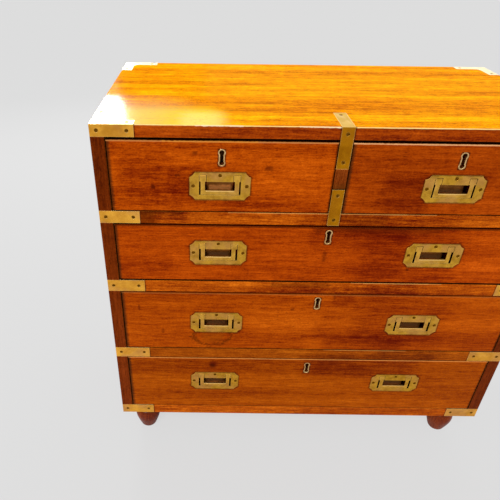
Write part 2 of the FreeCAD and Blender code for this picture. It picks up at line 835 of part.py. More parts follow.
def runners():
    """Drawer runners behind each rail, with a wide one under the divider."""
    y_pair = (FRONT_Y + RAIL_DEPTH, BACK_BOARD_Y)
    pieces = [
        block((side * INNER_X, side * (INNER_X - RUNNER_WIDTH)), y_pair, (z, z + height))
        for z, height in RAILS
        for side in ENDS
    ]
    centre = (DIVIDER_LEFT - CENTRE_RUNNER_OVERHANG, DIVIDER_RIGHT + CENTRE_RUNNER_OVERHANG)
    pieces.append(block(centre, y_pair, (UPPER_RAIL_Z, SHORT_ROW_Z)))
    return pieces


def dust_panels():
    """Panels between the runners, grooved into runners and rail."""
    outer = INNER_X - RUNNER_WIDTH + PANEL_GROOVE
    inner = DIVIDER_THICKNESS / 2 + CENTRE_RUNNER_OVERHANG - PANEL_GROOVE
    y_pair = (FRONT_Y + RAIL_DEPTH - PANEL_GROOVE, BACK_BOARD_Y)
    panels = []
    for z, height in RAILS:
        middle = z + height / 2
        z_pair = (middle - DUST_PANEL_THICKNESS / 2, middle + DUST_PANEL_THICKNESS / 2)
        if z == UPPER_RAIL_Z:
            panels += [block((DIVIDER_OFFSET + side * inner, side * outer), y_pair, z_pair) for side in ENDS]
        else:
            panels.append(block((-outer, outer), y_pair, z_pair))
    return panels


def drawer_stops():
    """Blocks on each rail and on the bottom board that stop the closed drawers."""
    stops = []
    for drawer in DRAWERS:
        start = drawer.front_back + STOP_GAP
        for x in (drawer.left + STOP_INSET, drawer.right - STOP_INSET):
            x_pair = (x - STOP_LENGTH / 2, x + STOP_LENGTH / 2)
            stops.append(block(x_pair, (start, start + STOP_WIDTH), (drawer.floor, drawer.floor + STOP_HEIGHT)))
    return stops


def back_boards():
    """Upright boards let into the rebates of the ends."""
    half = INNER_X + BACK_REBATE
    pitch = 2 * half / BACK_BOARD_COUNT
    gap = BACK_BOARD_GAP / 2
    return [
        block(
            (-half + i * pitch + gap, -half + (i + 1) * pitch - gap),
            (BACK_BOARD_Y, BACK_Y),
            (LOWER_ROW_Z, TOP_Z),
        )
        for i in range(BACK_BOARD_COUNT)
    ]


def case_end(side):
    """End board, rebated for the back."""
    board = block((side * INNER_X, side * END_X), (FRONT_Y, BACK_Y), (LOWER_ROW_Z, TOP_Z))
    rebate = block((side * INNER_X, side * (INNER_X + BACK_REBATE)), (BACK_BOARD_Y, BACK_Y), (LOWER_ROW_Z, TOP_Z))
    return board.cut(rebate)


def centre_divider():
    """Upright board between the two short drawers, housed above and below."""
    levels = (SHORT_ROW_Z - DIVIDER_HOUSING, TOP_Z + DIVIDER_HOUSING)
    return block((DIVIDER_LEFT, DIVIDER_RIGHT), (FRONT_Y, BACK_BOARD_Y), levels)


def foot():
    """Turned foot standing on zero, in one piece with the stud that screws into the bottom board."""
    neck = FOOT_BULB_HEIGHT + FOOT_NECK_HEIGHT
    ring = neck + FOOT_RING_HEIGHT
    cap = FOOT_HEIGHT - FOOT_CAP_HEIGHT
    ring_start = FOOT_RING_RADIUS - FOOT_RING_HEIGHT / 2

    def point(radius, height):
        return vector(radius, 0, height)

    def line(start, end):
        return Part.LineSegment(point(*start), point(*end)).toShape()

    def arc(start, middle, end):
        return Part.Arc(point(*start), point(*middle), point(*end)).toShape()

    bulb_middle = (FOOT_BULB_RADIUS, 0.72 * FOOT_BULB_HEIGHT)
    cove_middle = (FOOT_NECK_RADIUS, (FOOT_BULB_HEIGHT + neck) / 2)
    neck_edge = FOOT_NECK_RADIUS + FOOT_NECK_HEIGHT / 2
    ring_middle = (FOOT_RING_RADIUS, (neck + ring) / 2)
    edges = [
        line((0, 0), (FOOT_TIP_RADIUS, 0)),
        arc((FOOT_TIP_RADIUS, 0), bulb_middle, (neck_edge, FOOT_BULB_HEIGHT)),
        arc((neck_edge, FOOT_BULB_HEIGHT), cove_middle, (neck_edge, neck)),
        line((neck_edge, neck), (ring_start, neck)),
        arc((ring_start, neck), ring_middle, (ring_start, ring)),
        line((ring_start, ring), (neck_edge, ring)),
        line((neck_edge, ring), (neck_edge, cap)),
        line((neck_edge, cap), (FOOT_CAP_RADIUS, cap)),
        line((FOOT_CAP_RADIUS, cap), (FOOT_CAP_RADIUS, FOOT_HEIGHT)),
        line((FOOT_CAP_RADIUS, FOOT_HEIGHT), (STUD_RADIUS, FOOT_HEIGHT)),
        line((STUD_RADIUS, FOOT_HEIGHT), (STUD_RADIUS, FOOT_HEIGHT + STUD_LENGTH)),
        line((STUD_RADIUS, FOOT_HEIGHT + STUD_LENGTH), (0, FOOT_HEIGHT + STUD_LENGTH)),
        line((0, FOOT_HEIGHT + STUD_LENGTH), (0, 0)),
    ]
    return Part.Face(Part.Wire(edges)).revolve(vector(0, 0, 0), vector(0, 0, 1), 360)


def foot_places():
    x, y = END_X - FOOT_INSET, BACK_Y - FOOT_INSET
    return [(side * x, face * y) for side in ENDS for face in ENDS]


def stud_holes():
    """Holes in the bottom board for the studs of the feet."""
    end = FOOT_HEIGHT + STUD_LENGTH + STUD_GAP
    return [
        rod(STUD_RADIUS + STUD_GAP, vector(x, y, FOOT_HEIGHT), vector(x, y, end)) for x, y in foot_places()
    ]


def case_nodes():
    """All fixed nodes of the case by name."""
    envelope = case_envelope()
    corners = [strap.common(envelope) for strap in corner_straps()]
    centres = [strap.common(envelope) for strap in centre_straps()]
    strap_places = strap_screw_places()
    carry_places = carry_screw_places()
    strap_holes = [on_face(screw_blank(STRAP_SCREW_LENGTH, SCREW_GAP), *place) for place in strap_places]
    carry_holes = [on_face(screw_blank(PLATE_SCREW_LENGTH, SCREW_GAP), *place) for place in carry_places]
    holes = strap_holes + carry_holes
    pockets = [on_face(handle_pocket(CARRY_HANDLE), face, 0, CARRY_HEIGHT) for face in ("left", "right")]
    mortises = [bolt_mortise(drawer) for drawer in DRAWERS]
    rails = [front_rail(z, height) for z, height in RAILS]
    divider = centre_divider()
    panels = dust_panels()
    binding = corners + centres

    top = block((-END_X, END_X), (FRONT_Y, BACK_Y), (TOP_Z, CASE_TOP)).common(envelope)
    bottom = block((-END_X, END_X), (FRONT_Y, BACK_Y), (CASE_FLOOR, LOWER_ROW_Z)).common(envelope)
    ends = [case_end(side).common(envelope) for side in ENDS]
    cut_ends = [carve(end, corners + rails + holes + pockets) for end in ends]
    screws = [
        on_face(screw(STRAP_SCREW_LENGTH, SLOT_TURN * i), *place) for i, place in enumerate(strap_places)
    ]
    screws += [
        on_face(screw(PLATE_SCREW_LENGTH, SLOT_TURN * i), *place) for i, place in enumerate(carry_places)
    ]
    plate = handle_plate(CARRY_HANDLE)
    bail = grip(CARRY_HANDLE)

    return {
        "top_board": carve(top, binding + holes + mortises + [divider]),
        "bottom_board": carve(bottom, corners + holes + stud_holes()),
        "left_end": cut_ends[0],
        "right_end": cut_ends[1],
        "front_rails": group([carve(rail, binding + holes + mortises + [divider] + panels) for rail in rails]),
        "centre_divider": carve(divider, centres + holes),
        "drawer_runners": group([carve(piece, panels + [divider]) for piece in runners()]),
        "dust_panels": group(panels),
        "drawer_stops": group(drawer_stops()),
        "back_boards": group(back_boards()),
        "corner_straps": group([carve(strap, holes) for strap in corners]),
        "centre_straps": group([carve(strap, holes) for strap in centres]),
        "case_screws": group(screws),
        "feet": group([moved(foot(), x, y, 0) for x, y in foot_places()]),
        "carry_handle_plates": group([on_face(plate, face, 0, CARRY_HEIGHT) for face in ("left", "right")]),
        "left_carry_bail": on_face(bail, "left", 0, CARRY_HEIGHT),
        "right_carry_bail": on_face(bail, "right", 0, CARRY_HEIGHT),
    }


def main():
    os.makedirs("parts", exist_ok=True)
    nodes = case_nodes()
    for drawer in DRAWERS:
        nodes.update(drawer_nodes(drawer))
    for name, shape in nodes.items():
        shape.exportStep(f"parts/{name}.step")
        print(f"{name}: {len(shape.Solids)} solids, {shape.Volume / 1000:.1f} cm3")


if __name__ == "__main__":
    main()
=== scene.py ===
"""Looks of a brass-bound campaign chest with flush handles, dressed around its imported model.

Metres, +Z up, the front faces -Y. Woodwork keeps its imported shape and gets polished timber
finishes. Brass fittings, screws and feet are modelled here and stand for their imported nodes.
"""

import json
import logging
import math
from dataclasses import dataclass, field, replace
from enum import Enum
from typing import Any, Callable, Iterable, Optional, Sequence, Union

import bmesh
import bpy
from mathutils import Matrix, Vector


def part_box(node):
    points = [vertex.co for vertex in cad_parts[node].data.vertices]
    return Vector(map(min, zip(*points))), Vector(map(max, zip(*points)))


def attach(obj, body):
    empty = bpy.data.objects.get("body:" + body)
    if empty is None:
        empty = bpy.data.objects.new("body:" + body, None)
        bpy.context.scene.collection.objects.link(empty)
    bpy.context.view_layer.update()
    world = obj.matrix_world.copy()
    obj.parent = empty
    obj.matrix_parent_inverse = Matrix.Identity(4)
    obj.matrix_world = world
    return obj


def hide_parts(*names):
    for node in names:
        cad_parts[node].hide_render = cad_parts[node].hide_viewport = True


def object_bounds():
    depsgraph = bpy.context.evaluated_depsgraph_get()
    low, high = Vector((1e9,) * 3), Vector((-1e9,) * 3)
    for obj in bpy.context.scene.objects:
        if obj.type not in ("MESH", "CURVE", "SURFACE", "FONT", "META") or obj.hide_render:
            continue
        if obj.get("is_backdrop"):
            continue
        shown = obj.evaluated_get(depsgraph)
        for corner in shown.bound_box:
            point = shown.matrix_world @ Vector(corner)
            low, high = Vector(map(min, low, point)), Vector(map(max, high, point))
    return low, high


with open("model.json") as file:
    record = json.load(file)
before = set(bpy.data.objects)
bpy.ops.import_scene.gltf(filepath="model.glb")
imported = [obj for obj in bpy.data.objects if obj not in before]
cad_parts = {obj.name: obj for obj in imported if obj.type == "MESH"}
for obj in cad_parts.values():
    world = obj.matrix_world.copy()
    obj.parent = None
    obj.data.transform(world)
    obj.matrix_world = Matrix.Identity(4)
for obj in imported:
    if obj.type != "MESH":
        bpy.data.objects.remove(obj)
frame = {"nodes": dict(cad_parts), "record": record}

LOG = logging.getLogger("campaign_chest")
MM = 0.001
VIEW_WIDTH = 500  # pixels
SENSOR_WIDTH = 36.0  # millimetres on the camera's sensor
DISPLAY_WHITE = 255
SHARP_ANGLE = math.radians(38)
GOLDEN_TURN = math.radians(137.5)
TOUCH = 1e-6  # points nearer than this are one
CUT_TOUCH = 1e-7  # points nearer than this to a cut lie on it
WIDE = 1.0  # half of a shade's box that runs past the whole part
SIDEWAYS = 0.9  # X of a normal from which a face counts as a side
ROUND = 0.5  # profile of a round bevel
SORT_DECIMALS = 4  # of the places in metres by which solids are put in order
CARRY_NOTCH = 13 * MM  # at the corners of a carrying handle's plate

Colour = tuple[float, float, float, float]
Triple = tuple[float, float, float]
Span = tuple[float, float]
BMesh = bmesh.types.BMesh
BMVert = bmesh.types.BMVert
BMEdge = bmesh.types.BMEdge
BMFace = bmesh.types.BMFace
Material = bpy.types.Material
Piece = bpy.types.Object
Socket = bpy.types.NodeSocket
Value = Union[float, Sequence[float], Socket]
Values = dict[Any, Value]


def srgb(red: float, green: float, blue: float) -> Colour:
    """Turn a display colour into a linear one.

    Args:
        red: level of red, 0 to 255.
        green: level of green, 0 to 255.
        blue: level of blue, 0 to 255.

    Returns:
        Linear red, green, blue and full alpha.
    """

    def linear(level: float) -> float:
        """Return the linear share of a display level."""
        share = level / DISPLAY_WHITE
        return share / 12.92 if share <= 0.04045 else ((share + 0.055) / 1.055) ** 2.4

    return linear(red), linear(green), linear(blue), 1.0


def body_of_node(node: str) -> str:
    """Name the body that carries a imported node."""
    bodies = frame["record"]["behaviour"]["bodies"]
    return next(body for body, nodes in bodies.items() if node in nodes)


# Node trees


class NodeSheet:
    """Short calls that add and link the nodes of one tree."""

    def __init__(self, tree: bpy.types.NodeTree) -> None:
        """Keep the tree."""
        self.tree = tree

    def fill(self, node: bpy.types.Node, values: Values) -> None:
        """Set or link sockets of a node.

        Args:
            node: the node.
            values: socket name or number to a value or a socket to link from.
        """
        for name, value in values.items():
            if isinstance(value, Socket):
                self.tree.links.new(value, node.inputs[name])
            else:
                node.inputs[name].default_value = value

    def add(self, kind: str, values: Optional[Values] = None, **settings: Any) -> bpy.types.Node:
        """Add a node.

        Args:
            kind: node type without its ShaderNode prefix.
            values: socket name or number to a value or a socket to link from.
            settings: attributes of the node.

        Returns:
            The new node.
        """
        node = self.tree.nodes.new("ShaderNode" + kind)
        for name, setting in settings.items():
            setattr(node, name, setting)
        self.fill(node, values or {})
        return node

    def calc(self, operation: str, *values: Value, clamp: bool = False) -> Socket:
        """Return the result of a Math node."""
        return self.add("Math", dict(enumerate(values)), operation=operation, use_clamp=clamp).outputs[0]

    def vector(self, operation: str, *values: Value) -> Socket:
        """Return the vector of a Vector Math node, or its value where the operation gives a number."""
        node = self.add("VectorMath", dict(enumerate(values)), operation=operation)
        return node.outputs["Value" if operation in ("LENGTH", "DOT_PRODUCT") else "Vector"]

    def noise(self, place: Value, scale: Value, detail: float = 2.0, rough: float = 0.5) -> Socket:
        """Return a noise value from 0 to 1 at a place."""
        values = {"Vector": place, "Scale": scale, "Detail": detail, "Roughness": rough}
        return self.add("TexNoise", values).outputs[0]

    def stretched(self, place: Value, scales: Triple, detail: float = 2.0, rough: float = 0.5) -> Socket:
        """Return noise with its own scale along each axis."""
        return self.noise(self.vector("MULTIPLY", place, scales), 1.0, detail, rough)

    def remap(self, value: Value, start: float, end: float, low: float = 0.0, high: float = 1.0) -> Socket:
        """Return a value eased from low to high as it goes from start to end."""
        values = {"Value": value, "From Min": start, "From Max": end, "To Min": low, "To Max": high}
        return self.add("MapRange", values, interpolation_type="SMOOTHSTEP").outputs[0]

    def centred(self, value: Value) -> Socket:
        """Return a value of 0 to 1 as -0.5 to 0.5."""
        return self.calc("SUBTRACT", value, 0.5)

    def blend(self, share: Value, first: Value, second: Value) -> Socket:
        """Return two colours, sockets 6 and 7 of a Mix node, mixed by a share."""
        return self.add("Mix", {0: share, 6: first, 7: second}, data_type="RGBA").outputs[2]

    def facing(self) -> Any:
        """Return the X, Y and Z of the true normal."""
        return self.add("SeparateXYZ", {0: self.add("NewGeometry").outputs["Normal"]}).outputs

    def bump(self, height: Value, strength: float, distance: float) -> Socket:
        """Return the normal of an uneven surface."""
        values = {"Height": height, "Strength": strength, "Distance": distance}
        return self.add("Bump", values).outputs[0]

    def ramp(self, share: Value, stops: Sequence[tuple[float, Colour]]) -> Socket:
        """Add a colour ramp.

        Args:
            share: where on the ramp.
            stops: place and colour of each stop.

        Returns:
            The ramp's colour.
        """
        node = self.add("ValToRGB", {0: share})
        elements = node.color_ramp.elements
        for index, (place, colour) in enumerate(stops):
            element = elements[index] if index < len(elements) else elements.new(place)
            element.position = place
            element.color = colour
        return node.outputs[0]

    def use(self, effect: type["Effect"], values: Values) -> Any:
        """Place an effect's group.

        Args:
            effect: the effect.
            values: its inputs by name.

        Returns:
            Its outputs.
        """
        node = self.tree.nodes.new("ShaderNodeGroup")
        node.node_tree = effect.group()
        self.fill(node, values)
        return node.outputs


def blank_material(name: str) -> tuple[Material, NodeSheet, bpy.types.Node]:
    """Start a material.

    Args:
        name: its name.

    Returns:
        The material, the sheet of its tree, and its shader.
    """
    material = bpy.data.materials.new(name)
    material.use_nodes = True
    return material, NodeSheet(material.node_tree), material.node_tree.nodes["Principled BSDF"]


class Effect:
    """A shader node group shared by several finishes, built once."""

    name = "effect"
    takes: tuple[tuple[str, str, Any], ...] = ()
    gives: tuple[str, ...] = ()
    made: Optional[bpy.types.NodeTree] = None

    @classmethod
    def group(cls) -> bpy.types.NodeTree:
        """Build the group on its first use.

        Returns:
            The group.
        """
        if cls.made is None:
            tree = bpy.data.node_groups.new(cls.name, "ShaderNodeTree")
            for name, kind, default in cls.takes:
                socket = tree.interface.new_socket(name, in_out="INPUT", socket_type="NodeSocket" + kind)
                if default is not None:
                    socket.default_value = default
            for name in cls.gives:
                tree.interface.new_socket(name, in_out="OUTPUT", socket_type="NodeSocketFloat")
            entry = tree.nodes.new("NodeGroupInput")
            leave = tree.nodes.new("NodeGroupOutput")
            NodeSheet(tree).fill(leave, cls.build(NodeSheet(tree), entry.outputs))
            cls.made = tree
        return cls.made

    @classmethod
    def build(cls, sheet: NodeSheet, given: Any) -> dict[str, Socket]:
        """Fill the group's tree and return the socket for each of its outputs."""
        raise NotImplementedError


class TimberFigure(Effect):
    """Figure of a polished hardwood whose grain runs along the X of the vector."""

    name = "timber_figure"
    takes = (("Vector", "Vector", None), ("Waviness", "Float", 0.008), ("Curl", "Float", 0.1))
    gives = ("Figure", "Pores", "Height")
    sway_scale = 6.0
    # scales along the grain and across it, detail and roughness of each layer's noise
    layers = {
        "bands": ((1.5, 22.0, 22.0), 3.0, 0.55),
        "streaks": ((12.0, 210.0, 210.0), 4.0, 0.62),
        "hairs": ((44.0, 620.0, 620.0), 2.0, 0.6),
        "grit": ((280.0, 420.0, 420.0), 2.0, 0.7),
        "curl": ((70.0, 52.0, 52.0), 2.0, 0.5),
        "pores": ((110.0, 760.0, 760.0), 2.0, 0.6),
    }
    shares = {"bands": 0.31, "streaks": 0.27, "hairs": 0.22, "grit": 0.2}
    pore_range = (0.6, 0.72)

    @classmethod
    def build(cls, sheet: NodeSheet, given: Any) -> dict[str, Socket]:
        """Lay bands, streaks, hairlines and pores over slightly wavy grain, with some curl.

        Args:
            sheet: sheet of the group's tree.
            given: the group's inputs by name.

        Returns:
            The socket for each output.
        """
        place = given["Vector"]
        values = {"Vector": place, "Scale": cls.sway_scale, "Detail": 2.0}
        sway = sheet.add("TexNoise", values).outputs["Color"]
        across = sheet.vector("MULTIPLY", sheet.vector("SUBTRACT", sway, (0.5, 0.5, 0.5)), (0.0, 1.0, 1.0))
        drift = sheet.add("VectorMath", {0: across, "Scale": given["Waviness"]}, operation="SCALE")
        wavy = sheet.vector("ADD", place, drift.outputs[0])
        layers = {name: sheet.stretched(wavy, *layer) for name, layer in cls.layers.items()}
        figure = sheet.calc("MULTIPLY", sheet.centred(layers["curl"]), given["Curl"])
        for name, share in cls.shares.items():
            figure = sheet.calc("MULTIPLY_ADD", layers[name], share, figure)
        pores = sheet.remap(layers["pores"], *cls.pore_range)
        return {"Figure": figure, "Pores": pores, "Height": sheet.calc("SUBTRACT", layers["hairs"], pores)}


class BoxShade(Effect):
    """Mask that is full in a box and fades over a reach round it, or shows only a ring there."""

    name = "box_shade"
    takes = (
        ("Vector", "Vector", None),
        ("Centre", "Vector", None),
        ("Half", "Vector", None),
        ("Flat", "Vector", (1.0, 0.0, 1.0)),
        ("Chamfer", "Float", 0.0),
        ("Reach", "Float", 0.01),
        ("Hollow", "Float", 0.0),
        ("Shift", "Float", 0.0),
    )
    gives = ("Mask",)

    @classmethod
    def build(cls, sheet: NodeSheet, given: Any) -> dict[str, Socket]:
        """Measure how far a place is outside the chamfered box, and ease that to a mask.

        Args:
            sheet: sheet of the group's tree.
            given: the group's inputs by name.

        Returns:
            The socket for each output.
        """
        offset = sheet.vector("ABSOLUTE", sheet.vector("SUBTRACT", given["Vector"], given["Centre"]))
        beyond = sheet.vector("SUBTRACT", offset, given["Half"])
        straight = sheet.vector("LENGTH", sheet.vector("MAXIMUM", beyond, (0.0, 0.0, 0.0)))
        slanted = sheet.calc("ADD", sheet.vector("DOT_PRODUCT", beyond, given["Flat"]), given["Chamfer"])
        far = sheet.calc("MAXIMUM", straight, sheet.calc("MULTIPLY", slanted, math.sqrt(0.5)))
        share = sheet.calc("ADD", sheet.calc("DIVIDE", far, given["Reach"]), given["Shift"])
        ring = sheet.calc("ABSOLUTE", sheet.calc("SUBTRACT", share, given["Hollow"]))
        width = sheet.calc("SUBTRACT", 1.0, given["Hollow"])
        return {"Mask": sheet.remap(sheet.calc("DIVIDE", ring, width), 0.0, 1.0, 1.0, 0.0)}


class RimWearAndHighlight(Effect):
    """Masks of turned rims: all of them, for rubbed wear, and those facing up, for a painted highlight."""

    name = "rim_wear"
    takes = (("Vector", "Vector", None), ("Radius", "Float", 0.001))
    gives = ("Rim", "Lit")
    samples = 4
    turn_range = (0.985, 0.87)
    rub_noise = (60.0, 3.0, 0.6)
    rub_range = (0.32, 0.6, 0.3, 1.0)
    up_range = (0.18, 0.5)

    @classmethod
    def build(cls, sheet: NodeSheet, given: Any) -> dict[str, Socket]:
        """Compare the true normal with one rounded over the radius.

        Args:
            sheet: sheet of the group's tree.
            given: the group's inputs by name.

        Returns:
            The socket for each output.
        """
        rounded = sheet.add("Bevel", {"Radius": given["Radius"]}, samples=cls.samples).outputs[0]
        true = sheet.add("NewGeometry").outputs["Normal"]
        turned = sheet.remap(sheet.vector("DOT_PRODUCT", rounded, true), *cls.turn_range)
        rubbed = sheet.remap(sheet.noise(given["Vector"], *cls.rub_noise), *cls.rub_range)
        rim = sheet.calc("MULTIPLY", turned, rubbed)
        up = sheet.remap(sheet.add("SeparateXYZ", {0: rounded}).outputs["Z"], *cls.up_range)
        return {"Rim": rim, "Lit": sheet.calc("MULTIPLY", rim, up)}


class BrassSkin(Effect):
    """Tarnish clouds, fine scratches and the uneven surface of old hand-finished brass."""

    name = "brass_skin"
    takes = (("Vector", "Vector", None), ("Cloud", "Float", 70.0))
    gives = ("Tarnish", "Blush", "Scratches", "Height")
    cloud_noise, cloud_range = (4.0, 0.6), (0.3, 0.74)
    speck_noise, speck_range, speck_share = (700.0, 2.0, 0.6), (0.58, 0.72), 0.3
    blush_scale, blush_range = 26.0, (0.42, 0.66)
    scratch_sets = (((90.0, 90.0, 2600.0), (0.6, 0.75)), ((2900.0, 2900.0, 110.0), (0.64, 0.78)))
    dent_scale, scratch_depth = 45.0, 0.12

    @classmethod
    def build(cls, sheet: NodeSheet, given: Any) -> dict[str, Socket]:
        """Mix broad clouds with specks, a warmer blush, and two sets of stretched scratches.

        Args:
            sheet: sheet of the group's tree.
            given: the group's inputs by name.

        Returns:
            The socket for each output.
        """
        place = given["Vector"]
        clouds = sheet.remap(sheet.noise(place, given["Cloud"], *cls.cloud_noise), *cls.cloud_range)
        specks = sheet.remap(sheet.noise(place, *cls.speck_noise), *cls.speck_range)
        tarnish = sheet.calc("MULTIPLY_ADD", specks, cls.speck_share, clouds, clamp=True)
        blush = sheet.remap(sheet.noise(place, cls.blush_scale), *cls.blush_range)
        sets = [sheet.remap(sheet.stretched(place, scales), *span) for scales, span in cls.scratch_sets]
        scratches = sheet.calc("MAXIMUM", *sets)
        dents = sheet.noise(place, cls.dent_scale)
        height = sheet.calc("MULTIPLY_ADD", scratches, -cls.scratch_depth, dents)
        return {"Tarnish": tarnish, "Blush": blush, "Scratches": scratches, "Height": height}


# Finishes


class Grain(Enum):
    """Direction of the grain, as the turn in radians that brings it to X."""

    LEVEL = (0.0, 0.0, 0.0)
    UPRIGHT = (0.0, math.pi / 2, 0.0)
    DEEP = (0.0, 0.0, -math.pi / 2)


@dataclass(frozen=True)
class Stain:
    """Tones of one wood, as display colours of 0 to 255 around its middle tone."""

    red: float
    green: float
    blue: float
    spread: float = 1.0
    warmth: float = 1.75
    most_red: float = 250.0
    most_green: float = 235.0
    pale_blue: float = 30.0

    def tone(self, change: float) -> Colour:
        """Change the wood's colour.

        Args:
            change: how far it goes to the dark, below 0, or to the light, above 0.

        Returns:
            The changed colour.
        """
        change *= self.spread
        red = min(self.red * (1 + change), self.most_red)
        green = min(self.green * (1 + self.warmth * change), self.most_green)
        return srgb(red, green, self.blue * (1 + change) + self.pale_blue * max(change, 0))


@dataclass(frozen=True)
class Shade:
    """A patch of painted shade or light, a mark, a knot or a gap's edge: a box with a soft edge.

    On wood the box lies in the part's frame, on a handle it lies across and up its plate.
    Without a colour it shifts the wood's own tone by its strength instead.
    """

    centre: Triple
    half: Triple
    reach: float
    strength: float = 0.7
    colour: Optional[Colour] = srgb(44, 17, 5)
    uneven: float = 0.5
    chamfer: float = 0.0
    hollow: float = 0.0
    flat: Triple = (1.0, 0.0, 1.0)

    def mask(self, sheet: NodeSheet, place: Value, ragged: Value) -> Socket:
        """Measure how strongly the shade covers a place.

        Args:
            sheet: sheet of the material's tree.
            place: the place.
            ragged: value of -0.5 to 0.5 that shifts the soft edge.

        Returns:
            The share of the shade there.
        """
        values = {
            "Vector": place,
            "Centre": self.centre,
            "Half": self.half,
            "Flat": self.flat,
            "Chamfer": self.chamfer,
            "Reach": self.reach,
            "Hollow": self.hollow,
            "Shift": sheet.calc("MULTIPLY", ragged, self.uneven),
        }
        return sheet.calc("MULTIPLY", sheet.use(BoxShade, values)["Mask"], self.strength)


# painted shade in the gaps round drawers and boards; also the dark of open joints
GAP_COLOUR = srgb(22, 4, 0)
# darker band along the left edge of a drawer front
LEFT_BAND_COLOUR = srgb(58, 30, 12)
RED_MARK = srgb(84, 20, 3)
# painted highlight along an upper arris
ARRIS_HIGHLIGHT = srgb(255, 190, 104)
# painted shade that widens a gap's dark line, at a front's top and beside it
LIP_SHADE = srgb(54, 12, 2)
SIDE_GAP_SHADE = srgb(40, 12, 2)
JOINT_COLOUR = srgb(48, 16, 3)
KNOT_COLOUR = srgb(78, 38, 12)
# painted highlight on the top board's arris and rims
TOP_HIGHLIGHT = srgb(255, 226, 140)


def arris_highlight(
    low: Vector, high: Vector, strength: float, colour: Colour = ARRIS_HIGHLIGHT, drop: float = 0.0
) -> Shade:
    """Painted highlight: a pale line along the upper front arris of a board, or a drop below it."""
    middle = ((low.x + high.x) / 2, low.y, high.z - drop)
    return Shade(middle, (WIDE, 0.8 * MM, 0.5 * MM), 1.1 * MM, strength, colour, uneven=1.2)


